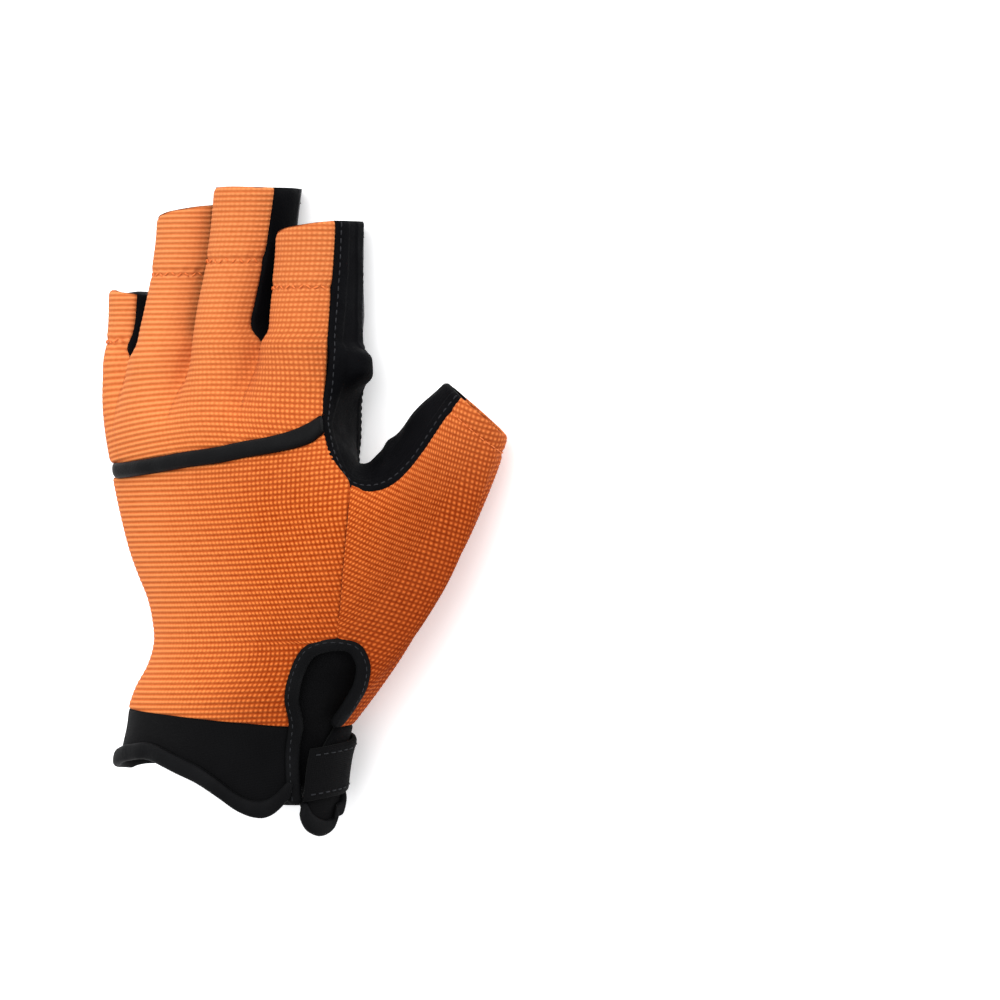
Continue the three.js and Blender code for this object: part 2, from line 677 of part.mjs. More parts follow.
// Sheet over a span of the hand's section, raised from it or, when negative, sunk into it.
function coverRows({ fromAngle, toAngle, low, high }, raise, rows = 6) {
  return Array.from({ length: 9 }, (_, step) => {
    const angle = mix(fromAngle, toAngle, step / 8);
    return Array.from({ length: rows + 1 }, (__, row) => {
      const y = mix(low, high, row / rows);
      return handPoint(y, angle).addScaledVector(handNormal(y, angle), raise);
    });
  });
}

// Triangles of a grid of points. `turned` reverses them so that they face out of the glove.
function gridFaces(rows, turned = false) {
  const faces = [];
  for (let i = 0; i + 1 < rows.length; i += 1) {
    for (let j = 0; j + 1 < rows[i].length; j += 1) {
      const [a, b, c, d] = [rows[i][j], rows[i][j + 1], rows[i + 1][j + 1], rows[i + 1][j]];
      const pair = a.distanceTo(c) < b.distanceTo(d) ? [[a, b, c], [a, c, d]] : [[a, b, d], [b, c, d]];
      pair.forEach(([p, q, r]) => faces.push(turned ? [p, r, q] : [p, q, r]));
    }
  }
  return faces.map((face) => face.map((point) => point.clone()));
}

// Cuts triangles along the line where `field` is zero, and keeps the side where it is positive.
function keepPositive(faces, field) {
  const kept = [];
  const near = 0.35;
  const value = (point) => (Math.abs(field(point)) < near ? 0 : field(point));
  faces.forEach((face) => {
    const corners = [];
    face.forEach((point, i) => {
      const next = face[(i + 1) % 3];
      const [here, there] = [value(point), value(next)];
      if (here >= 0) corners.push(point.clone());
      if (here * there < 0) corners.push(crossing(point, next, here, there));
    });
    if (face.every((point) => value(point) <= 0)) return;
    for (let i = 1; i + 1 < corners.length; i += 1) kept.push([corners[0], corners[i], corners[i + 1]]);
  });
  return kept;
}

// The same place on an edge from whichever of its ends the cut comes.
function crossing(point, next, here, there) {
  const forward = point.x < next.x || (point.x === next.x && point.y < next.y);
  const [a, b, atA, atB] = forward ? [point, next, here, there] : [next, point, there, here];
  return a.clone().lerp(b, atA / (atA - atB));
}

const palmSeamField = (point) => point.y - read(PALM_SEAM, 'x', 'y', point.x);

function patchField(point) {
  const x = point.x - PATCH_MIDDLE.x;
  const y = point.y - PATCH_MIDDLE.y;
  const angle = (THREE.MathUtils.radToDeg(Math.atan2(y, x)) + 360) % 360;
  return read(PATCH_OUTLINE, 'angle', 'radius', angle) - Math.hypot(x, y);
}

// A key that is the same for points within a hundredth of a millimetre.
const keyOf = (point) => [point.x, point.y, point.z].map((value) => Math.round(value * 100)).join(',');

function addNormals(faces, normals) {
  faces.forEach(([a, b, c]) => {
    const normal = b.clone().sub(a).cross(c.clone().sub(a));
    [a, b, c].forEach((point) => {
      const key = keyOf(point);
      if (!normals.has(key)) normals.set(key, vector(0, 0, 0));
      normals.get(key).add(normal);
    });
  });
}

// Faces as a list of joined points and corner numbers.
function joinPoints(faces) {
  const numbers = new Map();
  const points = [];
  const corners = faces.map((face) => face.map((point) => {
    const key = keyOf(point);
    if (!numbers.has(key)) {
      numbers.set(key, points.length);
      points.push(point.clone());
    }
    return numbers.get(key);
  })).filter(([a, b, c]) => a !== b && b !== c && a !== c);
  return { points, corners };
}

function openEdges(corners) {
  const edges = new Map();
  corners.forEach((face) => face.forEach((from, i) => {
    const to = face[(i + 1) % 3];
    if (!edges.delete(`${to},${from}`)) edges.set(`${from},${to}`, { from, to, face });
  }));
  return [...edges.values()];
}

// Closed wall from an open sheet: its edge drawn back by half the seam gap, the outer face raised
// by `rise` and the inner face `wall` below it, both along the normals that all the pieces share.
function makeWall(faces, sharedNormals, wall, rise = 0) {
  const { points, corners } = joinPoints(faces);
  const normals = points.map((point) => sharedNormals.get(keyOf(point)).clone().normalize());
  const edges = openEdges(corners);
  const inward = points.map(() => vector(0, 0, 0));
  const touched = points.map(() => 0);
  edges.forEach(({ from, to, face }) => {
    const [a, b, c] = face.map((corner) => points[corner]);
    const normal = b.clone().sub(a).cross(c.clone().sub(a)).normalize();
    const side = normal.cross(points[to].clone().sub(points[from])).normalize();
    [from, to].forEach((corner) => {
      inward[corner].add(side);
      touched[corner] += 1;
    });
  });
  points.forEach((point, i) => {
    if (touched[i] === 0) return;
    const sharpness = Math.max(inward[i].lengthSq() / (touched[i] * touched[i]), 0.3);
    inward[i].divideScalar(touched[i] * sharpness);
    point.addScaledVector(inward[i], SEAM_GAP / 2);
  });
  const outer = points.map((point, i) => point.clone().addScaledVector(normals[i], rise));
  const inner = outer.map((point, i) => point.clone()
    .addScaledVector(normals[i], -wall).addScaledVector(inward[i], INNER_BEVEL));
  const count = points.length;
  const triangles = [];
  corners.forEach(([a, b, c]) => triangles.push(a, b, c, a + count, c + count, b + count));
  edges.forEach(({ from, to }) => {
    triangles.push(from, from + count, to, to, from + count, to + count);
  });
  const geometry = new THREE.BufferGeometry();
  geometry.setAttribute('position', new THREE.Float32BufferAttribute(
    [...outer, ...inner].flatMap((point) => [point.x - ORIGIN_X, point.y - ORIGIN_Y, point.z]), 3));
  geometry.setIndex(triangles);
  geometry.computeVertexNormals();
  return geometry;
}

// Surfaces
const backStrips = stripRows('back', PIPING_TOP);
const palmStrips = stripRows('palm', 0);
const thumb = thumbRows();
const ringRows = (pointAt, from, to) => Array.from({ length: to - from + 1 },
  (_, i) => Array.from({ length: 4 * STRIP_COLUMNS + 1 }, (__, column) => pointAt(from + i, column)));

const knuckleFaces = backStrips.flatMap((rows) => gridFaces(rows));
const pipingFaces = gridFaces(ringRows(backPoint, PIPING_LOW, PIPING_TOP));
const backFaces = gridFaces(ringRows(backPoint, 0, PIPING_LOW));
const thumbFaces = gridFaces(thumb, true);
const webFaces = gridFaces(webRows(backStrips, palmStrips, thumb), true);
const palmFaces = palmStrips.map((rows) => gridFaces(rows, true));
const gussetFaces = GAPS.map((gap, number) => gridFaces(
  gussetRows(gap, number, backStrips, palmStrips), true));
const cuffFaces = gridFaces(cuffRows(), true);
const hemFaces = gridFaces(hemRows(), true);
const keyholeFaces = gridFaces(keyholeRows());
const strapFaces = gridFaces(strapRows(), true);
const loopFaces = gridFaces(coverRows(LOOP_PATCH, LOOP_PATCH.lift + LOOP_PATCH.wall, 2), true);
const slitFaces = gridFaces(coverRows(SLIT_GUSSET, -SLIT_GUSSET.depth), true);

const negative = (field) => (point) => -field(point);
const fingerPalmFaces = keepPositive(palmFaces.slice(0, 3).flat(), palmSeamField);
const lowerPalmFaces = [...keepPositive(palmFaces.slice(0, 3).flat(), negative(palmSeamField)), ...palmFaces[3]];
const patchFaces = keepPositive(lowerPalmFaces, patchField);
const palmBaseFaces = keepPositive(lowerPalmFaces, negative(patchField));

const skinNormals = new Map();
[knuckleFaces, pipingFaces, backFaces, thumbFaces, webFaces, ...gussetFaces, cuffFaces, hemFaces,
  keyholeFaces, fingerPalmFaces, patchFaces, palmBaseFaces].forEach((faces) => addNormals(faces, skinNormals));
const ownNormals = (faces) => {
  const normals = new Map();
  addNormals(faces, normals);
  return normals;
};

const knit = new THREE.MeshStandardMaterial({ color: 0xe2702a, roughness: 0.85, metalness: 0 });
const leather = new THREE.MeshStandardMaterial({ color: 0x232428, roughness: 0.55, metalness: 0 });
const neoprene = new THREE.MeshStandardMaterial({ color: 0x141416, roughness: 0.8, metalness: 0 });
const fuzz = new THREE.MeshStandardMaterial({ color: 0x1b1c1f, roughness: 0.95, metalness: 0 });

const group = new THREE.Group();
const piece = (name, faces, material, wall, rise = 0, normals = skinNormals) => {
  const mesh = new THREE.Mesh(makeWall(faces, normals, wall, rise), material.clone());
  mesh.name = name;
  group.add(mesh);
};

piece('knuckle_panel', knuckleFaces, knit, KNIT_WALL);
piece('knuckle_piping', pipingFaces, leather, LEATHER_WALL);
piece('back_panel', backFaces, knit, KNIT_WALL);
piece('thumb_panel', thumbFaces, knit, KNIT_WALL);
piece('thumb_web', webFaces, leather, LEATHER_WALL);
piece('finger_palm', fingerPalmFaces, leather, LEATHER_WALL);
piece('palm_base', palmBaseFaces, leather, LEATHER_WALL);
piece('thumb_patch', patchFaces, leather, LEATHER_WALL);
GAPS.forEach((gap, number) => piece(gap.name, gussetFaces[number], leather, LEATHER_WALL));
piece('cuff', cuffFaces, neoprene, CUFF_WALL);
piece('hem_binding', hemFaces, leather, BINDING_WALL, BINDING_RISE);
piece('keyhole_binding', keyholeFaces, leather, BINDING_WALL, BINDING_RISE);
piece('wrist_strap', strapFaces, leather, STRAP_WALL, 0, ownNormals(strapFaces));
piece('loop_patch', loopFaces, fuzz, LOOP_PATCH.wall, 0, ownNormals(loopFaces));
piece('slit_gusset', slitFaces, neoprene, SLIT_GUSSET.wall, 0, ownNormals(slitFaces));

export default group;
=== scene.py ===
"""Fingerless trekking glove for a left hand, lying palm down.

Each panel is a surface on a grid. A few control rows, worked out from the same sizes as the frame,
are joined by smooth curves and sampled finely, and ribs, seams, folds and stitches are added.
Sizes are in millimetres until a mesh is made. +X is the thumb side, +Y the fingertips.
"""

import bmesh
import bpy
import numpy as np
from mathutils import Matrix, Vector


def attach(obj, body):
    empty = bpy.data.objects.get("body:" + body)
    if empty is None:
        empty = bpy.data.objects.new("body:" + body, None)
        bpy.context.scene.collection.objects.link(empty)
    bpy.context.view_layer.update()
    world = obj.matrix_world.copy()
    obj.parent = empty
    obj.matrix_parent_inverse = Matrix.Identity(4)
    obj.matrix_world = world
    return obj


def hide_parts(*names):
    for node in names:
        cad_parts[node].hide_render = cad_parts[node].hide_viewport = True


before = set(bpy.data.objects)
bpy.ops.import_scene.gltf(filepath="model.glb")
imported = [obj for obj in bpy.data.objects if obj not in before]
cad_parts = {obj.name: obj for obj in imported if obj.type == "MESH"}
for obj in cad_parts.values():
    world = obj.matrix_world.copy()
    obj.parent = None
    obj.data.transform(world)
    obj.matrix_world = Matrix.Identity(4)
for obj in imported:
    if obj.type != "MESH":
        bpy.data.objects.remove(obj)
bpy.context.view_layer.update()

ORIGIN = np.array([30.9, 85.773, 0.0])
KNIT_WALL, LEATHER_WALL, CUFF_WALL, COVER_WALL = 1.2, 1.2, 1.9, 1.0
RIB_PITCH, COLUMN_PITCH, RIB_STEPS = 1.34, 1.36, 4
BACK_RIBS, KNUCKLE_RIBS, THUMB_RIBS = 0.15, 0.07, 0.11
EDGE_ROLL, KNIT_ROLL, EDGE_WIDTH = 0.75, 0.45, 1.5
MERGE = 0.01


def table(names, *rows):
    """Short table as named columns."""
    return dict(zip(names.split(), np.array(rows, float).T))


HAND = table(
    "y left right top under",
    (0, -26.6, 43, 35.5, 4.6),
    (15, -25.4, 43.8, 35.5, 4.6),
    (22, -24, 45, 35.4, 4.6),
    (29, -22.2, 47.6, 35.6, 4.4),
    (34, -20.6, 50.4, 37, 3.6),
    (39, -18.2, 54.4, 37, 2),
    (47, -13.6, 60, 36.6, 0),
    (60, -14.2, 66, 36.6, -0.8),
    (72, -20, 69, 37, -0.8),
    (85, -24.4, 70, 37.4, -0.8),
    (97, -27.4, 66, 37.4, -0.8),
    (113, -30.4, 53, 36.4, -0.4),
    (130, -31.6, 50, 33.4, 0.4),
)
HAND_ROUNDNESS, WAIST_SHARE, BACK_LEAN = 2.35, 0.46, 0.1

FINGERS = [
    dict(name="pinky", tip=143.6, tilt=-1.2, back=(185, 62), palm=(185, 332), hem=130.5,
         rows=table("y x half top", (125, -25.2, 6.8, 25.5), (132, -25.4, 7.6, 21), (144, -25.5, 8.3, 19))),
    dict(name="ring", tip=165, tilt=1.5, back=(155, 20), palm=(205, 332), hem=148,
         rows=table("y x half top", (126, -8.2, 9.2, 31.5), (136, -8, 9.4, 27.5), (144, -7.5, 9.3, 25),
                    (152, -6.8, 9.3, 23), (166, -6.3, 9.4, 22))),
    dict(name="middle", tip=171, tilt=-0.6, back=(155, 27), palm=(205, 332), hem=151.3,
         rows=table("y x half top", (130, 12.6, 10.2, 32.5), (140, 12.5, 10.2, 29.5),
                    (149, 13.3, 10.3, 27), (158, 14, 10.3, 25), (172, 15.4, 10.9, 24))),
    dict(name="index", tip=160.2, tilt=1.5, back=(155, 29), palm=(205, 332), hem=144,
         rows=table("y x half top", (130, 36.6, 11, 30), (141, 35.8, 11, 27), (150, 35.7, 10.8, 25),
                    (162, 35.8, 10.7, 24))),
]
FINGER_ROUNDNESS, FINGER_UNDER = 2.2, 0.5
FINGER_BLEND = (104, 129)
FINGER_BASE, FREE_FROM = 129.5, 127.5
TIP_CORNER, TIP_HEM, THUMB_HEM, THUMB_OUTER = 1.4, 3.8, 4.6, 60
GAPS = [("gusset_pinky_ring", 18, 2.2), ("gusset_ring_middle", 19, 2.5), ("gusset_middle_index", 19, 2.5)]
BACK_SHARES = np.array([0, 0.2, 0.455, 0.72, 1])
PALM_SHARES = np.array([0, 0.22, 0.46, 0.71, 1])
STRIP, FINGER_ROWS, THUMB_ROWS, WEB_STEPS, SIDE_STEPS = 5, 6, 8, 5, 3
PIPING_LOW, PIPING_TOP, BASE_RING, WEB_RING, KEYHOLE_RING = 12, 14, 19, 10, 4
OUTER_SEAM_ANGLE = 185
OUTER_SEAM = table("ring y", (0, 34), (12, 94), (13, 96), (14, 98), (15, 108), (16, 116), (17, 121),
                   (18, 125.5), (19, 129.5))
BACK_EDGE = table(
    "ring y angle",
    (0, 28.6, 42), (1, 36.6, 51), (2, 42.2, 56), (3, 50, 55), (4, 51.9, 38.9), (5, 58.6, 42.2),
    (7, 72, 43.4), (9, 85.4, 41.4), (10, 92.2, 37.5), (11, 98.5, 41), (12, 106, 36), (13, 108.3, 33.5),
    (14, 110.6, 31), (15, 115, 28), (17, 122, 27), (19, 129.5, 28),
)
WEB_CORNER_Y, PIPING_START_Y, PIPING_END_Y, PIPING_LEVEL = 92.2, 98, 110.6, 105
PIPING = table("x y", (-31, 98), (-20, 98), (-4.5, 99.3), (7.4, 100.8), (19.5, 102.1), (27.6, 103.4),
               (36.6, 104.6), (44.5, 106.3), (48.6, 107.7), (54.5, 110.6))
PIPING_WIDTH = 3.9
PALM_EDGE = table("ring x y", (0, 0.7, 34), (2, 1.2, 49), (4, 6, 64), (6, 14, 77.5), (8, 25, 87.5),
                  (10, 37, 93), (12, 39.6, 99.5), (15, 42, 112), (19, 45.4, 129.5))
PALM_SEAM = table("x y", (-33, 93.5), (-16, 97.5), (-5, 102), (3, 108), (12, 117), (18, 124), (24.5, 131),
                  (40, 160))
PATCH_MIDDLE = (40, 70)
PATCH_OUTLINE = table("angle radius", (60, 40), (75, 38.3), (92, 36.8), (115, 37.2), (134, 39.9),
                      (149, 42.9), (165, 45.4), (179, 46.2), (193, 46), (207, 41), (220, 36))
KEYHOLE_EDGE = np.array([(60, 50.2, 27.5), (61.3, 45.6, 25.2), (59.5, 40.2, 23.4), (54.6, 34.6, 21.4)])
KEYHOLE_MIDDLE = np.array([(51.5, 44.5, 31), (45.5, 28, 26)])
KEYHOLE_BAND = 3.4
SLIT_ROWS = (8.2, 10, 12.2, 16.3, 20.4, 24.5, 26.6)
SLIT_ANGLE = 20.0
CUFF_SEAM = table("angle hem y", (5, 29, 28.6), (-5, 22, 28.8), (-15, 13, 29.2), (-26, 4, 29.7),
                  (-40, -7, 30.4), (-58, -38, 31.6), (-80, -70, 33))
PALM_HEM = table("angle y", (-178, 16.8), (-158, 17.8), (-140, 17.4), (-125, 15), (-110, 11.5), (-90, 8),
                 (-70, 7.4), (-45, 9), (-15, 9.5), (-4, 6), (4, 1.2), (13, 0), (22, 1.4), (29, 6))
BACK_HEM = table("angle y", (34, 7.8), (40, 6), (52, 4.9), (64, 6.7), (75, 10.4), (95, 16.5), (110, 19.4),
                 (132, 19), (160, 17.2), (182, 16.8))
BACK_SLIT_TURN, HEM_BAND = 8, 4.4
THUMB_MOUTH, THUMB_WIDE, THUMB_DEEP = np.array([86.2, 112, 12]), 11.4, 9.6
THUMB_AXIS = np.array([0.56, 0.76, -0.34])
THUMB_WIDE_AXIS = np.array([0.806, -0.592, 0])
THUMB_PULL = 46
THUMB_ROOT = table(
    "station omega swing x y z",
    (0, 92, 0, 44, -20, -6), (3, 66, 0, 46, 4, -10), (6, 36, 0.3, 50, 26, -18), (8, 20, 0.7, 62, 40, -34),
    (11, -5, 1, 56, 72, -14), (14, -34, 1, 68, 66, -2), (18, -66, 0.6, 48, 36, -3),
    (22, -94, 0.2, 48, 9, -4), (26, -121, 0.1, 42, 7, -7), (27, -128, 0.1, 38, 9, -7),
    (28, -135, 0, 32, 17, 10),
)
THUMB_SWING = np.array([-26, 8, 0])
WEB_BOW = table("station x y z", (6, 3, 0, 0), (7, 7.4, 0, 0), (8, 7, 0, 0), (9, 4.6, 0, 0), (11, 1.4, 0, 0),
                (13, 1, 3, -1), (14.5, 2, 5.6, -1), (16, 1.4, 6.8, -1.5), (18, -1.8, 7, -2),
                (20, -4.4, 7.6, -1.5), (22, -5.8, 5.6, -1), (23, -6, 4.4, -0.5))
STRAP = table("way y lift", (0, 16.2, 0.6), (8, 16.8, 0.8), (54, 20, 0.8), (85, 21.6, 0.8), (110, 22.8, 1.2),
              (121, 23.4, 1.8), (137, 23.6, 1.8))
STRAP_START, STRAP_WIDTH, STRAP_WALL = 25, 14.2, 1.3
LOOP_PATCH = dict(angles=(-94, -119), rows=(20, 31), raised=1.4)
SLIT_GUSSET = dict(angles=(58, -12), rows=(12, 54), raised=-2.8)


# Curves and sections

def mean_slopes(slope, span):
    """Slope at each row of a curve: the mean of both sides, the shorter side counting more."""
    share = span[1:] / (span[1:] + span[:-1])
    return np.concatenate([slope[:1], slope[:-1] * share + slope[1:] * (1 - share), slope[-1:]])


def read(rows, key, column, at):
    """Smooth curve of cubic pieces through a column of a table."""
    x, y = rows[key], rows[column]
    at = np.clip(at, x[0], x[-1])
    span = np.diff(x)
    slope = np.diff(y) / span
    tangent = mean_slopes(slope, span)
    low = np.clip(np.searchsorted(x, at, "left") - 1, 0, len(x) - 2)
    t = (at - x[low]) / span[low]
    rise = t * t * (3 - 2 * t)
    bend = t * (1 - t) ** 2 * tangent[low] - t * t * (1 - t) * tangent[low + 1]
    return y[low] + (y[low + 1] - y[low]) * rise + span[low] * bend


def read_point(rows, key, at):
    return np.stack([read(rows, key, column, at) for column in "xyz"], -1)


def smoothstep(value, low, high):
    t = np.clip((value - low) / (high - low), 0, 1)
    return t * t * (3 - 2 * t)


def unit(v):
    return v / np.maximum(np.linalg.norm(v, axis=-1, keepdims=True), 1e-9)


def rounded_box(angle, roundness):
    """Cosine and sine of an angle, each raised to 2/roundness, which squares the circle off."""
    c, s = np.cos(np.radians(angle)), np.sin(np.radians(angle))
    return np.sign(c) * np.abs(c) ** (2 / roundness), np.sign(s) * np.abs(s) ** (2 / roundness)


def hand_point(y, angle):
    """Point of the hand's outline at height y and an angle from the thumb side."""
    y, angle = np.broadcast_arrays(np.asarray(y, float), np.asarray(angle, float))
    left, right, top, under = (read(HAND, "y", column, y) for column in ("left", "right", "top", "under"))
    waist = top * WAIST_SHARE
    across, up = rounded_box(angle, HAND_ROUNDNESS)
    height = np.where(up > 0, (top - waist) * up * (1 + BACK_LEAN * across), (waist - under) * up)
    return np.stack([left + (right - left) * (0.5 + across / 2), y, np.maximum(waist + height, 0)], -1)


def hand_normal(y, angle):
    along = hand_point(y + 0.5, angle) - hand_point(y - 0.5, angle)
    around = hand_point(y, angle + 0.5) - hand_point(y, angle - 0.5)
    return unit(np.cross(along, around))


def under_angle(y, x):
    left, right = read(HAND, "y", "left", y), read(HAND, "y", "right", y)
    across = np.clip((2 * x - left - right) / (right - left), -1, 1)
    return 360 - np.degrees(np.arccos(np.sign(across) * np.abs(across) ** (HAND_ROUNDNESS / 2)))


def finger_point(finger, y, angle):
    """Point of a finger's rounded section at height y."""
    y, angle = np.broadcast_arrays(np.asarray(y, float), np.asarray(angle, float))
    x, half, top = (read(finger["rows"], "y", column, y) for column in ("x", "half", "top"))
    across, up = rounded_box(angle, FINGER_ROUNDNESS)
    return np.stack([x + half * across, y, FINGER_UNDER + (top - FINGER_UNDER) * (0.5 + up / 2)], -1)


def share_of_arc(section, y, start, end, share):
    """Angle at a share of the arc length between two angles of a section, for arrays alike in shape."""
    y, start, end, share = np.broadcast_arrays(*(np.asarray(a, float) for a in (y, start, end, share)))
    steps = np.linspace(0, 1, 25)
    angles = start[..., None] + (end - start)[..., None] * steps
    points = section(y[..., None], angles)
    lengths = np.cumsum(np.linalg.norm(np.diff(points, axis=-2), axis=-1), -1)
    lengths = np.concatenate([np.zeros_like(lengths[..., :1]), lengths], -1)
    wanted = share * lengths[..., -1]
    i = np.clip((lengths[..., :-1] < wanted[..., None]).sum(-1), 1, 24)
    low = np.take_along_axis(lengths, (i - 1)[..., None], -1)[..., 0]
    high = np.take_along_axis(lengths, i[..., None], -1)[..., 0]
    return start + (end - start) * (i - 1 + (wanted - low) / (high - low)) / 24


# Control rows

def column_share(shares, column):
    strip = np.minimum(column // STRIP, 3)
    return shares[strip] + (shares[strip + 1] - shares[strip]) * (column / STRIP - strip)


def back_rings(rings):
    """Back of the hand without the fingers: rings as rows, columns across from the outer seam."""
    ring = np.asarray(rings, float)[:, None]
    share = column_share(BACK_SHARES, np.arange(4 * STRIP + 1))[None]
    edge_angle = read(BACK_EDGE, "ring", "angle", ring)
    outer_y, edge_y = read(OUTER_SEAM, "ring", "y", ring), read(BACK_EDGE, "ring", "y", ring)
    y = outer_y + (edge_y - outer_y) * share
    angle = share_of_arc(hand_point, y, OUTER_SEAM_ANGLE, edge_angle, share)
    piping = read(PIPING, "x", "y", hand_point(PIPING_LEVEL, angle)[..., 0])
    web_y = read(OUTER_SEAM, "ring", "y", WEB_RING)
    start = web_y + (WEB_CORNER_Y - web_y) * share
    low = start + (piping - PIPING_WIDTH - start) * (ring - WEB_RING) / (PIPING_LOW - WEB_RING)
    middle = piping - PIPING_WIDTH * (PIPING_TOP - ring) / (PIPING_TOP - PIPING_LOW)
    flat = PIPING_START_Y + (PIPING_END_Y - PIPING_START_Y) * share
    high = y + (piping - flat) * (BASE_RING - ring) / (BASE_RING - PIPING_TOP)
    bent = np.where(ring <= PIPING_LOW, low, np.where(ring <= PIPING_TOP, middle, high))
    bends = (ring > WEB_RING) & (ring < BASE_RING) & (share > 0) & (share < 1)
    return hand_point(np.where(bends, bent, y), angle)


def palm_rings(rings):
    ring = np.asarray(rings, float)[:, None]
    share = column_share(PALM_SHARES, np.arange(4 * STRIP + 1))[None]
    edge_x, edge_y = read(PALM_EDGE, "ring", "x", ring), read(PALM_EDGE, "ring", "y", ring)
    outer_y = read(OUTER_SEAM, "ring", "y", ring)
    y = outer_y + (edge_y - outer_y) * share
    return hand_point(y, share_of_arc(hand_point, y, OUTER_SEAM_ANGLE, under_angle(edge_y, edge_x), share))


def finger_strips(side):
    """Rows of each finger's strip up to its tip. Neighbours are drawn together below their gap."""
    first = PIPING_TOP if side == "back" else 0
    flat = (back_rings if side == "back" else palm_rings)(np.arange(first, BASE_RING + 1))
    share = np.arange(STRIP + 1) / STRIP
    strips = []
    for number, finger in enumerate(FINGERS):
        start, end = finger[side]
        section = lambda y, angle, finger=finger: finger_point(finger, y, angle)
        low = flat[:, number * STRIP:(number + 1) * STRIP + 1]
        bend = smoothstep(low[..., 1:2], *FINGER_BLEND)
        turn = share_of_arc(section, low[..., 1], start, end, share[None])
        low = low + (finger_point(finger, low[..., 1], turn) - low) * bend
        rise = (np.arange(1, FINGER_ROWS + 1)[:, None] / FINGER_ROWS) ** 1.25
        tip = finger["tip"] - TIP_CORNER * (1 - share[None]) ** 4
        y = FINGER_BASE + (tip - FINGER_BASE) * rise
        angle = share_of_arc(section, y, start, end, share[None])
        high = finger_point(finger, y + finger["tilt"] * rise * np.cos(np.radians(angle)), angle)
        strips.append(np.concatenate([low, high]))
    for number, (_, ring, _) in enumerate(GAPS):
        rows = slice(0, ring - first + 1)
        left, right = strips[number][rows], strips[number + 1][rows]
        middle = (left[:, -1:] + right[:, :1]) / 2
        left += (middle - left[:, -1:]) * share[None, :, None] ** 3
        right += (middle - right[:, :1]) * share[None, ::-1, None] ** 3
    return strips


def gusset_rows(number, backs, palms):
    """Strip round a gap: down one finger's side, round the crotch and up the next finger's side."""
    _, ring, bow = GAPS[number]
    around = lambda strips, first: np.concatenate([
        strips[number][ring - first:, -1][::-1], strips[number + 1][ring - first:, 0][1:]])
    back, palm = around(backs, PIPING_TOP), around(palms, 0)
    crotch = (len(back) - 1) // 2
    share = np.linspace(0, 1, SIDE_STEPS + 1)
    rows = back[:, None] + (palm - back)[:, None] * share[None, :, None]
    for finger, part, start, end in (
            (FINGERS[number], slice(0, crotch), FINGERS[number]["back"][1], FINGERS[number]["palm"][1] - 360),
            (FINGERS[number + 1], slice(crotch + 1, None), FINGERS[number + 1]["back"][0],
             FINGERS[number + 1]["palm"][0])):
        wall = finger_point(finger, rows[part, :, 1], (start + (end - start) * share)[None])
        low, high = finger_point(finger, back[part, 1], start), finger_point(finger, palm[part, 1], end)
        rows[part] += wall - (low[:, None] + (high - low)[:, None] * share[None, :, None])
    rows[crotch, :, 1] += bow * np.sin(np.pi * share)
    return rows


def thumb_root():
    back = back_rings(np.arange(WEB_RING, KEYHOLE_RING - 1, -1))[:, -1]
    return np.concatenate([back, KEYHOLE_EDGE, hand_point(CUFF_SEAM["y"], CUFF_SEAM["angle"]),
                           palm_rings(np.arange(WEB_RING + 1))[:, -1]])


def thumb_rows():
    """Lines from the root to the thumb's mouth, each a cubic that leaves and arrives as stated."""
    axis = unit(THUMB_AXIS)
    deep = unit(np.cross(THUMB_WIDE_AXIS, axis))
    root = thumb_root()
    station = np.arange(len(root), dtype=float)
    omega = np.radians(read(THUMB_ROOT, "station", "omega", station))[:, None]
    end = THUMB_MOUTH + THUMB_WIDE_AXIS * THUMB_WIDE * np.cos(omega) + deep * THUMB_DEEP * np.sin(omega)
    swing = read(THUMB_ROOT, "station", "swing", station)[:, None]
    arrive = (axis * THUMB_PULL + THUMB_SWING * swing)[:, None]
    leave = read_point(THUMB_ROOT, "station", station)[:, None]
    s = np.linspace(0, 1, THUMB_ROWS + 1)[None, :, None]
    rows = root[:, None] + (end - root)[:, None] * (s * s * (3 - 2 * s))
    rows = rows + leave * s * (1 - s) ** 2 - arrive * s * s * (1 - s)
    rows[..., 2] = np.maximum(rows[..., 2], 0)
    return rows


def web_rows(backs, palms, thumb):
    """Web from the index tip down its side, round the crotch and up the thumb, bowed between borders."""
    index = FINGERS[3]
    back = np.concatenate([backs[3][::-1, -1], back_rings(np.arange(PIPING_TOP - 1, WEB_RING - 1, -1))[:, -1],
                           thumb[0, 1:]])
    palm = np.concatenate([palms[3][WEB_RING:, -1][::-1], thumb[-1, 1:]])
    share = np.linspace(0, 1, WEB_STEPS + 1)
    rows = back[:, None] + (palm - back)[:, None] * share[None, :, None]
    start, end = index["back"][1], index["palm"][1] - 360
    side = slice(0, FINGER_ROWS + 1)
    wall = finger_point(index, rows[side, :, 1], (start + (end - start) * share)[None])
    low, high = finger_point(index, back[side, 1], start), finger_point(index, palm[side, 1], end)
    rows[side] += wall - (low[:, None] + (high - low)[:, None] * share[None, :, None])
    rest = slice(FINGER_ROWS + 1, None)
    bow = read_point(WEB_BOW, "station", np.arange(FINGER_ROWS + 1, len(rows), dtype=float))
    rows[rest] += bow[:, None] * np.sin(np.pi * share)[None, :, None]
    rows[rest, 1:-1, 2] = np.maximum(rows[rest, 1:-1, 2], 0.2)
    return rows


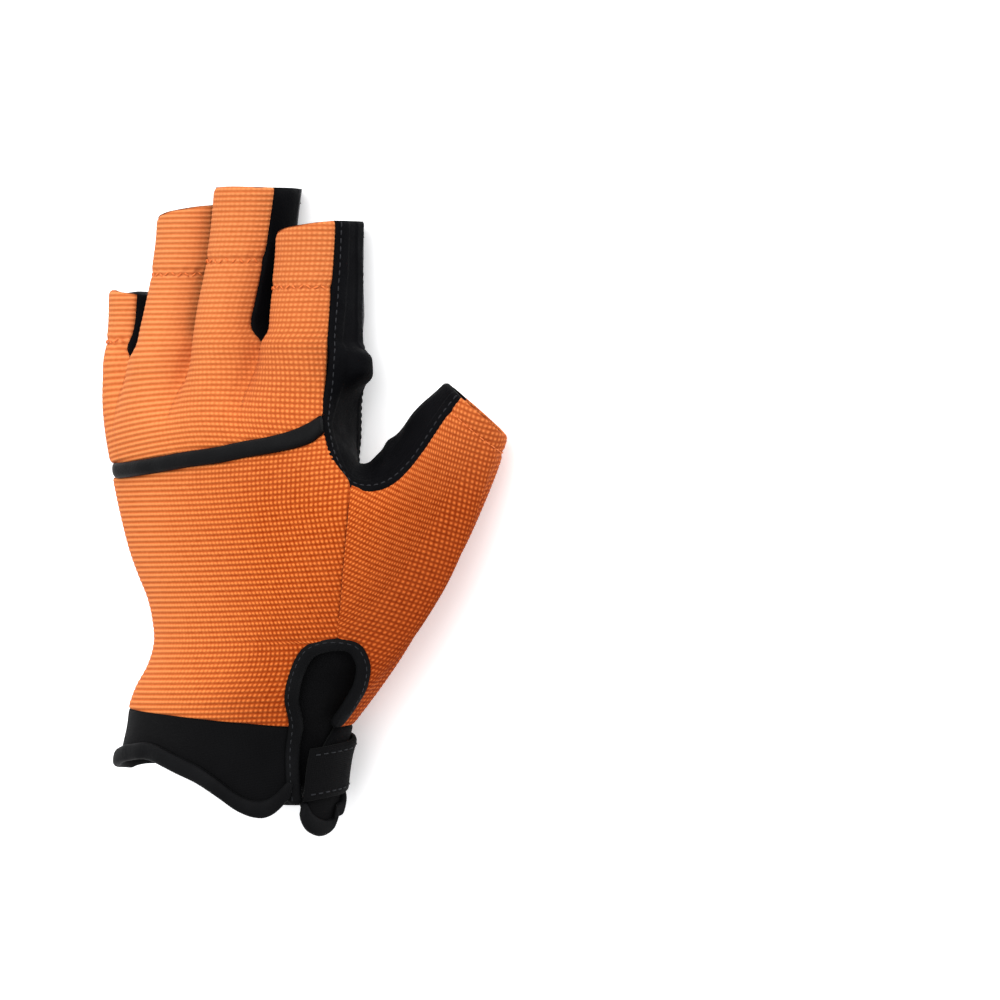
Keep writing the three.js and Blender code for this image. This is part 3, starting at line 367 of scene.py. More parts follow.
def cuff_columns():
    """Columns round the wrist: point, height and angle at the seam, and angle and height at the hem."""
    share = column_share(BACK_SHARES, np.arange(4 * STRIP, -1, -1))
    outer_y, edge_y = OUTER_SEAM["y"][0], BACK_EDGE["y"][0]
    y = outer_y + (edge_y - outer_y) * share
    angle = share_of_arc(hand_point, y, OUTER_SEAM_ANGLE, BACK_EDGE["angle"][0], share)
    hem_angle = angle - BACK_SLIT_TURN * share ** 6
    back = (back_rings([0])[0, ::-1], y, angle, hem_angle, read(BACK_HEM, "angle", "y", hem_angle))
    top = palm_rings([0])[0, 1:]
    share = column_share(PALM_SHARES, np.arange(1, 4 * STRIP + 1))
    edge_angle = under_angle(PALM_EDGE["y"][0], PALM_EDGE["x"][0])
    angle = share_of_arc(hand_point, top[:, 1], OUTER_SEAM_ANGLE, edge_angle, share)
    palm = (top, top[:, 1], angle, angle, read(PALM_HEM, "angle", "y", angle - 360))
    a, h, y = (CUFF_SEAM[column][::-1] for column in ("angle", "hem", "y"))
    side = (hand_point(y, a), y, a, h, read(PALM_HEM, "angle", "y", h))
    return [np.concatenate(parts) for parts in zip(back, palm, side)]


def cuff_point(columns, y):
    """Points at heights y (one row of heights for each column) between the cuff's seam and its hem."""
    top, seam_y, angle, hem_angle, hem = (c[:, None] for c in columns)
    share = (seam_y - y) / (seam_y - hem)
    # the palm side counts its angles past 180, so both ends of a column are of one kind
    return np.where(share[..., None] <= 0, top, hand_point(y, angle + (hem_angle - angle) * share))


def strap_rows():
    way = np.linspace(0, STRAP["way"][-1], 19)[:, None]
    across = np.array([-0.5, -0.17, 0.17, 0.5])[None] * STRAP_WIDTH
    y = read(STRAP, "way", "y", way) + across
    lift = read(STRAP, "way", "lift", way) + STRAP_WALL
    angle = STRAP_START - way + 0 * across
    return hand_point(y, angle) + hand_normal(y, angle) * (lift + 0 * across)[..., None]


def cover_rows(angles, rows, raised):
    angle = np.linspace(*angles, 9)[:, None]
    y = np.linspace(*rows, 7)[None]
    return hand_point(y, angle) + hand_normal(y, angle) * raised


# Fine grids

def dense(points, count):
    """Cubic curves through the rows of an array, with `count` steps from each row to the next."""
    delta = np.diff(points, axis=0)
    span = np.maximum(np.linalg.norm(delta, axis=-1, keepdims=True), 1e-6)
    slope = delta / span
    tangent = mean_slopes(slope, span)
    t = (np.arange(count) / count).reshape((1, count) + (1,) * (points.ndim - 1))
    low, high = points[:-1, None], points[1:, None]
    s0, s1 = (tangent[:-1] * span)[:, None], (tangent[1:] * span)[:, None]
    made = low + (high - low) * t * t * (3 - 2 * t) + s0 * t * (1 - t) ** 2 - s1 * t * t * (1 - t)
    made = made.reshape((-1,) + points.shape[1:])
    return np.concatenate([made, points[-1:]])


def fine(rows, along, across):
    """Control rows sampled finely both ways."""
    return dense(dense(rows, along).swapaxes(0, 1), across).swapaxes(0, 1)


def fine_strips(strips, along, across, gaps, first):
    """Strips side by side sampled finely. Where two are still joined, the curve across runs on."""
    wide = []
    for row in range(len(strips[0])):
        lines = [strip[row] for strip in strips]
        joined = [row + first <= ring for _, ring, _ in gaps]
        start = 0
        parts = []
        for number in range(4):
            if number == 3 or not joined[number]:
                group = lines[start:number + 1]
                line = np.concatenate([group[0]] + [g[1:] for g in group[1:]])
                curve = dense(line, across)
                size = STRIP * across
                parts += [curve[i * size:(i + 1) * size + 1] for i in range(len(group))]
                start = number + 1
        wide.append(parts)
    return [dense(np.stack([row[number] for row in wide]), along) for number in range(4)]


def lengths_along(points):
    step = np.linalg.norm(np.diff(points, axis=0), axis=-1)
    return np.concatenate([np.zeros_like(step[:1]), np.cumsum(step, 0)])


def lengths_across(points):
    return lengths_along(points.swapaxes(0, 1)).swapaxes(0, 1)


def at_lengths(points, wanted):
    """Points of each column's curve at the wanted lengths from its first row (rows, columns)."""
    length = lengths_along(points)
    made = np.empty(wanted.shape + (3,))
    for column in range(points.shape[1]):
        for axis in range(3):
            made[:, column, axis] = np.interp(wanted[:, column], length[:, column], points[:, column, axis])
    return made


def line_from_tip(strip, distance):
    """Line over a strip at a distance from its last row."""
    return at_lengths(strip[::-1], np.full((1, strip.shape[1]), distance))[0]


def even(points, count):
    """Each column's curve divided into `count` even steps of its own length."""
    length = lengths_along(points)
    return at_lengths(points, np.linspace(0, 1, count + 1)[:, None] * length[-1])


def ribbed(points, from_top=False):
    """Rows a quarter of a rib apart, measured from one end and cut short where a column ends."""
    if from_top:
        points = points[::-1]
    length = lengths_along(points)
    count = int(np.ceil(length[-1].max() / RIB_PITCH * RIB_STEPS))
    wanted = np.minimum((np.arange(count + 1) * RIB_PITCH / RIB_STEPS)[:, None], length[-1][None])
    made = at_lengths(points, wanted)
    return made[::-1] if from_top else made


def normals_of(points, side=1):
    """Unit normals from the differences along both ways of a grid."""
    return unit(np.cross(np.gradient(points, axis=1), np.gradient(points, axis=0))) * side


def edge_distance(points, sides="lrtb"):
    """Distance over the surface to the nearest of the named sides of a grid."""
    down = lengths_along(points)
    over = lengths_across(points)
    ways = {"b": down, "t": down[-1:] - down, "l": over, "r": over[:, -1:] - over}
    return np.min([ways[side] for side in sides], axis=0)


def ripple(points, size, seed=0):
    """Gentle unevenness, from -1 to 1: a sum of slanting waves about `size` long."""
    ways = np.array([(1, 0.3, 0.5), (-0.4, 1, 0.2), (0.6, -0.8, 0.7), (0.2, 0.9, -0.9)])
    phase = np.array([0.3, 2.1, 4.4, 5.2]) + seed * 1.7
    scale = 2 * np.pi / size * np.array([1, 0.83, 1.31, 1.9])
    return np.sin((points @ ways.T) * scale + phase) @ np.array([0.4, 0.3, 0.2, 0.1])


def line_distance(points, line):
    """Distance in plan from each point to a bent line given by its corners."""
    flat = points[..., None, :2]
    a, b = line[:-1], line[1:]
    way = b - a
    t = np.clip(((flat - a) * way).sum(-1) / (way ** 2).sum(-1), 0, 1)
    return np.linalg.norm(flat - a - way * t[..., None], axis=-1).min(-1)


# Meshes

def gather(parts):
    """Several pairs of values and faces joined into one pair."""
    values, faces, first = [], [], 0
    for v, f in parts:
        values.append(v)
        faces.append(f + first)
        first += len(v)
    return np.concatenate(values), np.concatenate(faces)


def make_object(name, vertices, faces, material, replaces=(), uv=None, merge=0.0, outward=False):
    """Mesh from arrays, in metres about the frame's origin, smooth, riding on the root body.
    Corners nearer than `merge` become one, and `outward` turns every face out."""
    mesh = bpy.data.meshes.new(name)
    mesh.from_pydata(((vertices - ORIGIN) / 1000).tolist(), [], faces)
    if uv is not None:
        layer = mesh.uv_layers.new(name="weave")
        corner = np.empty(len(mesh.loops), np.int32)
        mesh.loops.foreach_get("vertex_index", corner)
        layer.data.foreach_set("uv", (uv[corner] / 100).astype(np.float32).ravel())
    if merge or outward:
        work = bmesh.new()
        work.from_mesh(mesh)
        if merge:
            bmesh.ops.remove_doubles(work, verts=work.verts, dist=merge / 1000)
            bmesh.ops.dissolve_degenerate(work, edges=work.edges, dist=1e-7)
        if outward:
            bmesh.ops.recalc_face_normals(work, faces=work.faces)
        work.to_mesh(mesh)
        work.free()
    mesh.validate()
    mesh.polygons.foreach_set("use_smooth", np.ones(len(mesh.polygons), bool))
    piece = bpy.data.objects.new(name, mesh)
    bpy.context.scene.collection.objects.link(piece)
    mesh.materials.append(material)
    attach(piece, "root")
    if replaces:
        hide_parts(*replaces)
    return piece


def grid_quads(rows, columns, turned=False, first=0):
    number = np.arange(rows * columns).reshape(rows, columns) + first
    quads = np.stack([number[:-1, :-1], number[:-1, 1:], number[1:, 1:], number[1:, :-1]], -1).reshape(-1, 4)
    return quads[:, ::-1] if turned else quads


def shell(outer, inner, side):
    """Closed wall from two grids alike in size: both faces and the rim between their borders."""
    rows, columns = outer.shape[:2]
    turned = side < 0
    half = rows * columns
    number = np.arange(half).reshape(rows, columns)
    rim = np.concatenate([number[0, :-1], number[:-1, -1], number[-1, :0:-1], number[:0:-1, 0]])
    after = np.roll(rim, -1)
    band = np.stack([rim, rim + half, after + half, after], -1)
    faces = np.concatenate([grid_quads(rows, columns, turned), grid_quads(rows, columns, not turned, half),
                            band[:, ::-1] if turned else band])
    return np.concatenate([outer.reshape(-1, 3), inner.reshape(-1, 3)]), faces


def roll_down(distance, depth=EDGE_ROLL, width=EDGE_WIDTH):
    """How far a panel's edge turns in: a quarter round of the given depth over the given width."""
    near = np.clip(1 - distance / width, 0, 1)
    return depth * (1 - np.sqrt(np.maximum(1 - near ** 2, 0)))


def panel(name, node, grid, side, wall, material, relief, uv=None, roll=EDGE_ROLL):
    """Panel of cloth or leather: the grid raised by its relief, with its edges rolled in."""
    normal = normals_of(grid, side)
    outer = grid + normal * (relief - roll_down(edge_distance(grid), roll))[..., None]
    outer[..., 2] = np.maximum(outer[..., 2], 0.0)
    inner = grid - normal * wall
    if uv is None:
        uv = np.stack([lengths_across(grid), lengths_along(grid)], -1)
    vertices, faces = shell(outer, inner, side)
    uv = np.concatenate([uv.reshape(-1, 2)] * 2)
    return make_object(name, vertices, faces.tolist(), material, (node,), uv, MERGE)


def tube(name, path, wide, deep, half_wide, half_deep, material, replaces, corners, square):
    """Rolled edge: a squared-off ellipse carried along a path, its two ends closed by a point."""
    angle = np.linspace(0, 360, corners, endpoint=False)
    across, up = rounded_box(angle, square)
    length = lengths_along(path)
    from_end = np.minimum(length, length[-1] - length)
    whole = np.sqrt(np.maximum(1 - np.clip(1 - from_end / half_wide, 0, 0.999) ** 2, 0))[:, None, None]
    body = path[:, None] + whole * (wide[:, None] * across[None, :, None] * half_wide
                                    + deep[:, None] * up[None, :, None] * half_deep)
    rows = len(path)
    number = np.arange(rows * corners).reshape(rows, corners)
    after = np.roll(number, -1, 1)
    quads = np.stack([number[:-1], number[1:], after[1:], after[:-1]], -1).reshape(-1, 4)
    ends = np.array([path[0], path[-1]])
    low, high = rows * corners, rows * corners + 1
    caps = np.concatenate([np.stack([number[0], after[0], np.full(corners, low)], -1),
                           np.stack([after[-1], number[-1], np.full(corners, high)], -1)])
    vertices = np.concatenate([body.reshape(-1, 3), ends])
    uv = np.concatenate([np.stack([np.tile(np.arange(corners) * 0.7, (rows, 1)),
                                   np.repeat(length[:, None], corners, 1)], -1).reshape(-1, 2),
                         np.zeros((2, 2))])
    faces = quads.tolist() + caps.tolist()
    return make_object(name, vertices, faces, material, replaces, uv, outward=True)


def stitch_row(path, normal, pitch=2.3, long=1.75, thick=0.24, lift=0.05, zigzag=0.0):
    """Stitches along a path: small spindles, one every pitch, each along the path or slanted."""
    length = lengths_along(path)
    count = max(int(length[-1] / pitch), 1)
    at = (np.arange(count) + 0.5) * length[-1] / count
    pick = lambda values, where: np.stack([np.interp(where, length, values[:, k]) for k in range(3)], -1)
    centre, up = pick(path, at), unit(pick(normal, at))
    way = unit(pick(path, np.minimum(at + 0.4, length[-1])) - pick(path, np.maximum(at - 0.4, 0)))
    over = unit(np.cross(up, way))
    slant = np.where(np.arange(count) % 2, 1.0, -1.0)[:, None] * zigzag
    way = unit(way + over * slant)
    over = unit(np.cross(up, way))
    centre = centre + up * lift
    ring = np.linspace(0, 2 * np.pi, 6, endpoint=False)
    steps = np.array([-1, -0.75, -0.25, 0.25, 0.75, 1])
    fat = np.array([0.25, 0.8, 1, 1, 0.8, 0.25])
    dip = np.array([-0.35, -0.05, 0.0, 0.0, -0.05, -0.35])
    body = (centre[:, None, None] + way[:, None, None] * (steps * long / 2)[None, :, None, None]
            + up[:, None, None] * dip[None, :, None, None]
            + (over[:, None, None] * np.cos(ring)[None, None, :, None]
               + up[:, None, None] * np.sin(ring)[None, None, :, None]) * (fat * thick)[None, :, None, None])
    number = np.arange(36).reshape(6, 6)
    after = np.roll(number, -1, 1)
    quads = np.stack([number[:-1], after[:-1], after[1:], number[1:]], -1).reshape(-1, 4)
    faces = (quads[None] + (np.arange(count) * 36)[:, None, None]).reshape(-1, 4)
    return body.reshape(-1, 3), faces


def stitches(name, rows, material):
    """Several rows of stitches joined into one piece."""
    vertices, faces = gather(rows)
    return make_object(name, vertices, faces.tolist(), material)


def inset(grid, normal, distance):
    """Line over a grid at a distance from its first column, with the normals there."""
    over = lengths_across(grid)
    i = np.clip((over < distance).sum(1), 1, grid.shape[1] - 1)[:, None]
    low, high = np.take_along_axis(over, i - 1, 1), np.take_along_axis(over, i, 1)
    t = ((distance - low) / np.maximum(high - low, 1e-6))[..., None]
    pick = lambda a, k: np.take_along_axis(a, k[..., None], 1)
    line = (pick(grid, i - 1) * (1 - t) + pick(grid, i) * t)[:, 0]
    up = unit((pick(normal, i - 1) * (1 - t) + pick(normal, i) * t)[:, 0])
    return line, up


# Cutting a grid along a line

def triangles_of(grid):
    quads = grid_quads(*grid.shape[:2])
    return np.concatenate([quads[:, [0, 1, 2]], quads[:, [0, 2, 3]]])


def keep_positive(values, faces, field):
    """Cuts triangles where a field on their corners is zero and keeps the side where it is positive.
    `values` holds everything known at a corner; a new corner takes its share of both ends."""
    field = np.where(np.abs(field) < 1e-3, 1e-3, field)
    above = field > 0
    count = above[faces].sum(1)
    whole = faces[count == 3]
    mixed = faces[(count == 1) | (count == 2)]
    up = above[mixed]
    lone_up = up.sum(1) == 1
    lone = np.where(lone_up, np.argmax(up, 1), np.argmin(up, 1))
    turn = (lone[:, None] + np.arange(3)) % 3
    a, b, c = np.take_along_axis(mixed, turn, 1).T
    pairs = np.sort(np.concatenate([np.stack([a, b], 1), np.stack([a, c], 1)]), 1)
    edges, where = np.unique(pairs, axis=0, return_inverse=True)
    where = where.reshape(-1)
    share = (field[edges[:, 0]] / (field[edges[:, 0]] - field[edges[:, 1]]))[:, None]
    new = values[edges[:, 0]] * (1 - share) + values[edges[:, 1]] * share
    ab, ac = where[:len(a)] + len(values), where[len(a):] + len(values)
    tip = np.stack([a, ab, ac], 1)[lone_up]
    rest = ~lone_up
    left = np.stack([ab, b, c], 1)[rest]
    right = np.stack([ab, c, ac], 1)[rest]
    values = np.concatenate([values, new])
    faces = np.concatenate([whole, tip, left, right])
    used, faces = np.unique(faces, return_inverse=True)
    return values[used], faces.reshape(-1, 3)


def cut_panel(name, node, values, faces, side, wall, material):
    """Closed wall from cut triangles. A corner's values are its outer point, inner point and weave."""
    if side < 0:
        faces = faces[:, ::-1]
    count = len(values)
    edges = np.concatenate([faces[:, [0, 1]], faces[:, [1, 2]], faces[:, [2, 0]]])
    key = edges[:, 0] * count + edges[:, 1]
    open_edge = ~np.isin(edges[:, 1] * count + edges[:, 0], key)
    a, b = edges[open_edge].T
    rim = np.concatenate([np.stack([a, a + count, b], 1), np.stack([b, a + count, b + count], 1)])
    everything = np.concatenate([faces, faces[:, ::-1] + count, rim])
    vertices = np.concatenate([values[:, 0:3], values[:, 3:6]])
    uv = np.concatenate([values[:, 6:8]] * 2)
    return make_object(name, vertices, everything.tolist(), material, (node,), uv, MERGE)


# Materials

NOISE_ROUGHNESS = 0.55


class Finish:
    """A material's node tree, with short calls for the nodes that the finishes are made of."""

    def __init__(self, name, roughness, specular, sheen=0.0):
        self.material = bpy.data.materials.new(name)
        self.material.use_nodes = True
        self.tree = self.material.node_tree
        self.shader = self.tree.nodes["Principled BSDF"]
        self.shader.inputs["Roughness"].default_value = roughness
        self.shader.inputs["Specular IOR Level"].default_value = specular
        self.shader.inputs["Sheen Weight"].default_value = sheen
        self.shader.inputs["Sheen Roughness"].default_value = 0.5

    def node(self, kind, **settings):
        made = self.tree.nodes.new(kind)
        for key, value in settings.items():
            setattr(made, key, value)
        return made

    def link(self, source, target):
        self.tree.links.new(source, target)

    def math(self, operation, a, b=None, c=None):
        made = self.node("ShaderNodeMath", operation=operation)
        for socket, value in zip(made.inputs, (a, b, c)):
            if isinstance(value, (int, float)):
                socket.default_value = value
            elif value is not None:
                self.link(value, socket)
        return made.outputs[0]

    def weave(self):
        """The two coordinates of the piece's own map, in millimetres."""
        uv = self.node("ShaderNodeUVMap", uv_map="weave")
        split = self.node("ShaderNodeSeparateXYZ")
        self.link(uv.outputs[0], split.inputs[0])
        return self.math("MULTIPLY", split.outputs[0], 100), self.math("MULTIPLY", split.outputs[1], 100)

    def place(self):
        return self.node("ShaderNodeTexCoord").outputs["Object"]

    def noise(self, size, detail, stretch=None):
        """Cloudy noise whose features are about `size` millimetres."""
        made = self.node("ShaderNodeTexNoise")
        made.inputs["Scale"].default_value = 1000 / size
        made.inputs["Detail"].default_value = detail
        made.inputs["Roughness"].default_value = NOISE_ROUGHNESS
        source = self.place()
        if stretch:
            mapping = self.node("ShaderNodeMapping")
            mapping.inputs["Scale"].default_value = stretch
            self.link(source, mapping.inputs["Vector"])
            source = mapping.outputs[0]
        self.link(source, made.inputs["Vector"])
        return made.outputs["Fac"]

    def cells(self, size):
        made = self.node("ShaderNodeTexVoronoi", feature="F1")
        made.inputs["Scale"].default_value = 1000 / size
        self.link(self.place(), made.inputs["Vector"])
        return made.outputs["Distance"]

    def blend(self, factor, low, high):
        """Colour between two at a factor; a colour is given as linear red, green and blue."""
        made = self.node("ShaderNodeMix", data_type="RGBA")
        self.link(factor, made.inputs["Factor"])
        for socket, value in ((made.inputs["A"], low), (made.inputs["B"], high)):
            if isinstance(value, tuple):
                socket.default_value = (*value, 1)
            else:
                self.link(value, socket)
        return made.outputs["Result"]

    def span(self, value, low, high, to_low=0.0, to_high=1.0):
        made = self.node("ShaderNodeMapRange")
        for socket, number in zip(list(made.inputs)[1:5], (low, high, to_low, to_high)):
            socket.default_value = number
        self.link(value, made.inputs[0])
        return made.outputs[0]

    def finish(self, colour, height=None, depth=0.2, strength=1.0, roughness=None):
        """Links the colour, and a height whose full step is `depth` millimetres."""
        self.link(colour, self.shader.inputs["Base Color"])
        if roughness is not None:
            self.link(roughness, self.shader.inputs["Roughness"])
        if height is not None:
            bump = self.node("ShaderNodeBump")
            bump.inputs["Strength"].default_value = strength
            bump.inputs["Distance"].default_value = depth / 1000
            self.link(height, bump.inputs["Height"])
            self.link(bump.outputs[0], self.shader.inputs["Normal"])
        return self.material


# Linear colours of the knit's rib valleys (painted shade in the hollows) and crests, at its outer side
# (paler, painted light), its thumb side (darker, painted shade), the thumb's root (deep painted shade) and
# the fingers (flatter painted rib shading)
KNIT_SHADED_VALLEYS = (0.46, 0.096, 0.019), (0.27, 0.028, 0.0005), (0.1, 0.007, 0.0003), (0.47, 0.125, 0.035)
KNIT_LIT_CRESTS = (0.76, 0.25, 0.078), (0.8, 0.21, 0.042), (0.36, 0.046, 0.007), (0.68, 0.25, 0.092)
KNIT_CLOUD, KNIT_SHEEN_TINT = (0.4, 0.07, 0.008), (1.0, 0.6, 0.35, 1)


def knit_finish(name):
    """Ribbed knit: ribs along one way of the map, each broken into small beads along the other."""
    f = Finish(name, 0.92, 0.05, sheen=0.06)
    u, v = f.weave()
    wobble = f.math("MULTIPLY", f.math("SUBTRACT", f.noise(9, 2), 0.5), 0.45)
    u = f.math("ADD", u, wobble)
    rib = f.math("COSINE", f.math("MULTIPLY", v, 2 * np.pi / RIB_PITCH))
    rib = f.math("MULTIPLY_ADD", rib, 0.5, 0.5)
    bead = f.math("COSINE", f.math("MULTIPLY", u, 2 * np.pi / COLUMN_PITCH))
    bead = f.math("MULTIPLY_ADD", bead, 0.5, 0.5)
    place = f.node("ShaderNodeSeparateXYZ")
    f.link(f.place(), place.inputs[0])
    x, y = place.outputs[0], place.outputs[1]
    # painted light: the outer side lighter and paler, the thumb side darker with painted shade; the same mask
    # also strengthens the beads toward the thumb
    thumbward_shade_and_beads = f.span(x, -0.035, 0.005, 0.15, 1.0)
    fingers = f.span(y, 0.01, 0.05, 1.0, 0.7)
    patchy = f.math("MULTIPLY", f.span(f.noise(30, 2), 0.3, 0.6, 0.8, 1.0), thumbward_shade_and_beads)
    patchy = f.math("MULTIPLY", patchy, fingers)
    gap = f.math("MULTIPLY", f.math("SUBTRACT", 1.0, bead), patchy)
    shape = f.math("MULTIPLY", rib, f.math("MULTIPLY_ADD", gap, -1.0, 1.0))
    fuzz = f.noise(0.3, 2)
    yarn = f.math("MULTIPLY", f.math("SUBTRACT", f.noise(1.1, 3), 0.5), 0.5)
    # the colour darkens in the hollows of ribs and beads: painted shade
    tone = f.span(f.math("ADD", shape, yarn), -0.05, 0.95)
    # painted shade: the knit much darker over the thumb's lower root
    thumb_root_shade = f.span(f.math("SUBTRACT", x, f.math("MULTIPLY", y, 0.8)), 0.025, 0.085)
    # painted light: the fingers' ribs shaded flatter, as if lit from the front
    flat_lit_fingers = f.span(y, 0.0, 0.06, 0.0, 0.7)
    shaded_valley, lit_crest = (
        f.blend(flat_lit_fingers, f.blend(thumb_root_shade, f.blend(thumbward_shade_and_beads, left, right), shade), fingertip)
        for left, right, shade, fingertip in (KNIT_SHADED_VALLEYS, KNIT_LIT_CRESTS))
    colour = f.blend(tone, shaded_valley, lit_crest)
    cloud = f.span(f.noise(45, 3), 0.3, 0.7)
    colour = f.blend(f.math("MULTIPLY", cloud, 0.12), colour, KNIT_CLOUD)
    height = f.math("MULTIPLY", rib, f.math("MULTIPLY_ADD", gap, -0.6, 1.0))
    f.shader.inputs["Sheen Tint"].default_value = KNIT_SHEEN_TINT
    return f.finish(colour, f.math("ADD", height, f.math("MULTIPLY", fuzz, 0.3)), 0.2, 1.0)


def leather_finish(name, low, high, roughness=0.5, grain=0.9, bump=0.12, specular=0.12):
    """Fine-grained leather: small pebbles, faint creases and cloudy wear of tone and gloss."""
    f = Finish(name, roughness, specular)
    pebble = f.cells(grain)
    pore = f.noise(grain * 0.45, 3)
    crease = f.noise(5, 4, stretch=(1.0, 2.2, 1.0))
    height = f.math("ADD", f.math("MULTIPLY", pebble, 0.7), f.math("MULTIPLY", pore, 0.5))
    height = f.math("ADD", height, f.math("MULTIPLY", crease, 0.9))
    tone = f.math("ADD", f.math("MULTIPLY", f.noise(14, 4), 0.6), f.math("MULTIPLY", pore, 0.4))
    tone = f.span(tone, 0.35, 0.65)
    gloss = f.span(f.noise(8, 3), 0.3, 0.7, roughness - 0.08, roughness + 0.12)
    return f.finish(f.blend(tone, low, high), height, bump, 0.8, gloss)


def cloth_finish(name, low, high, pitch=0.6, roughness=0.85, sheen=0.15, depth=0.12):
    """Close matte cloth: a fine two-way weave with a little fuzz."""
    f = Finish(name, roughness, 0.05, sheen=sheen)
    u, v = f.weave()
    one = f.math("SINE", f.math("MULTIPLY", f.math("ADD", u, v), 2 * np.pi / pitch / 1.4))
    two = f.math("SINE", f.math("MULTIPLY", f.math("SUBTRACT", u, v), 2 * np.pi / pitch / 1.4))
    height = f.math("MULTIPLY_ADD", f.math("MULTIPLY", one, two), 0.5, 0.5)
    fuzz = f.noise(0.5, 3)
    tone = f.math("ADD", f.math("MULTIPLY", height, 0.4), f.math("MULTIPLY", f.noise(10, 3), 0.6))
    height = f.math("ADD", height, f.math("MULTIPLY", fuzz, 0.8))
    return f.finish(f.blend(f.span(tone, 0.2, 0.8), low, high), height, depth, 0.7)


KNIT = knit_finish("orange_rib_knit")
LEATHER = leather_finish("palm_leather", (0.005, 0.0055, 0.007), (0.011, 0.012, 0.015), 0.46, specular=0.35)
WEB_LEATHER = leather_finish("web_leather", (0.0012, 0.0012, 0.0016), (0.0028, 0.0029, 0.0037), 0.7, 0.7,
                             specular=0.03)
BINDING = leather_finish("edge_binding", (0.0014, 0.0014, 0.0017), (0.0034, 0.0035, 0.004), 0.65, 0.6,
                         0.1, 0.06)
PIPING_LEATHER = leather_finish("rolled_piping", (0.0016, 0.0016, 0.0019), (0.0034, 0.0035, 0.004), 0.55, 0.6,
                                0.08, 0.08)
CUFF_CLOTH = cloth_finish("close_black_knit", (0.001, 0.001, 0.0012), (0.0024, 0.0024, 0.0028), sheen=0.02)
STRAP_CLOTH = cloth_finish("strap_cloth", (0.0012, 0.0012, 0.0014), (0.0026, 0.0026, 0.0029), 0.8, 0.8, 0.01)
LOOP_PILE = cloth_finish("loop_pile", (0.0016, 0.0016, 0.0018), (0.006, 0.006, 0.007), 0.5, 0.95, 0.15, 0.5)


def thread_finish(name, colour, light):
    f = Finish(name, 0.6, 0.25)
    twist = f.noise(0.5, 2, stretch=(1, 1, 3))
    return f.finish(f.blend(twist, colour, light), twist, 0.1, 0.6)


DARK_THREAD = thread_finish("dark_thread", (0.004, 0.0042, 0.005), (0.011, 0.012, 0.016))
ORANGE_THREAD = thread_finish("orange_thread", (0.5, 0.09, 0.015), (0.85, 0.24, 0.06))


# Knit panels

backs, palms, thumb = finger_strips("back"), finger_strips("palm"), thumb_rows()


def ribs(way, height):
    """Height of the ribs where `way` is the distance over them: a cosine of one rib pitch."""
    return height * (0.5 * np.cos(2 * np.pi * way / RIB_PITCH) + 0.5)


def back_way(grid):
    """Ribs of the back: nearly level, bending up to the thumb side and most so near the piping."""
    x, y, _ = np.moveaxis(grid, -1, 0)
    bend = 0.0005 * np.maximum(x - 2, 0) ** 2 * (0.7 + 0.9 * smoothstep(y, 60, 98))
    return y - 0.015 * (x + 5) - bend


def knuckle_way(grid):
    """Ribs of the knuckles: rising to the thumb side near the piping, level over the fingers."""
    x, y, _ = np.moveaxis(grid, -1, 0)
    low = 1 - smoothstep(y, 100, 138)
    left = np.minimum(x - 12, 0) - 4 * np.exp(-np.abs(x - 12) / 5)
    return y - 0.13 * low * left + 0.05 * np.maximum(x - 12, 0) * low


back_grid = ribbed(fine(back_rings(np.arange(0, PIPING_LOW + 1)), 8, 6))
panel("back_knit", "back_panel", back_grid, 1, KNIT_WALL, KNIT,
      ribs(back_way(back_grid), BACK_RIBS) + 0.25 * ripple(back_grid, 34),
      np.stack([lengths_across(back_grid), back_way(back_grid)], -1), roll=KNIT_ROLL)

strips = fine_strips(backs, 8, 7, GAPS, PIPING_TOP)
LOW_ROWS = (BASE_RING - PIPING_TOP) * 8
knit_parts, hem_rows, u_start = [], [], 0.0
for number, (finger, strip) in enumerate(zip(FINGERS, strips)):
    low = ribbed(strip[:LOW_ROWS + 1], from_top=True)
    high = ribbed(strip[LOW_ROWS:])
    grid = np.concatenate([low, high[1:]])
    normal = normals_of(grid, 1)
    over = lengths_across(grid)
    way = knuckle_way(grid)
    relief = ribs(way, KNUCKLE_RIBS) + 0.25 * ripple(grid, 34)
    hem_at = grid[..., 1] - finger["hem"] - 0.5 * np.sin(over * 1.9)
    relief = relief - 0.45 * np.exp(-(hem_at / 1.1) ** 2) + 0.3 * smoothstep(hem_at, 0, 2.5)
    tip = lengths_along(grid)[-1:] - lengths_along(grid)
    sides = ("l" if number == 0 else "") + ("r" if number == 3 else "")
    relief = relief - roll_down(tip, 0.9, 1.8) - roll_down(lengths_along(grid), 0.9, 1.6)
    if sides:
        relief = relief - roll_down(edge_distance(grid, sides))
    free = grid[..., 1] > FREE_FROM
    if number > 0:
        relief = relief - np.where(free, roll_down(over), 0)
    if number < 3:
        relief = relief - np.where(free, roll_down(over[:, -1:] - over), 0)
    vertices, faces = shell(grid + normal * relief[..., None], grid - normal * KNIT_WALL, 1)
    flat_uv = np.stack([over + u_start, way], -1).reshape(-1, 2)
    knit_parts.append((np.column_stack([vertices, np.concatenate([flat_uv, flat_uv])]), faces))
    u_start += over[LOW_ROWS // 2, -1]
    row = np.argmin(np.abs(grid[:, :, 1] - finger["hem"]), 0)
    pick = lambda a, row=row: a[row, np.arange(a.shape[1])]
    line = pick(grid) + pick(normal) * 0.05
    hem_rows.append(stitch_row(line[2:-2], pick(normal)[2:-2], 1.9, 1.5, 0.2, 0.02, zigzag=0.9))
    line = line_from_tip(grid, TIP_HEM)
    hem_rows.append(stitch_row(line[2:-2], normal[-8, 2:-2], 1.9, 1.4, 0.14, 0.04))
values, faces = gather(knit_parts)
make_object("knuckle_knit", values[:, :3], faces.tolist(), KNIT, ("knuckle_panel",),
            values[:, 3:], MERGE)
stitches("finger_hem_stitches", hem_rows, ORANGE_THREAD)

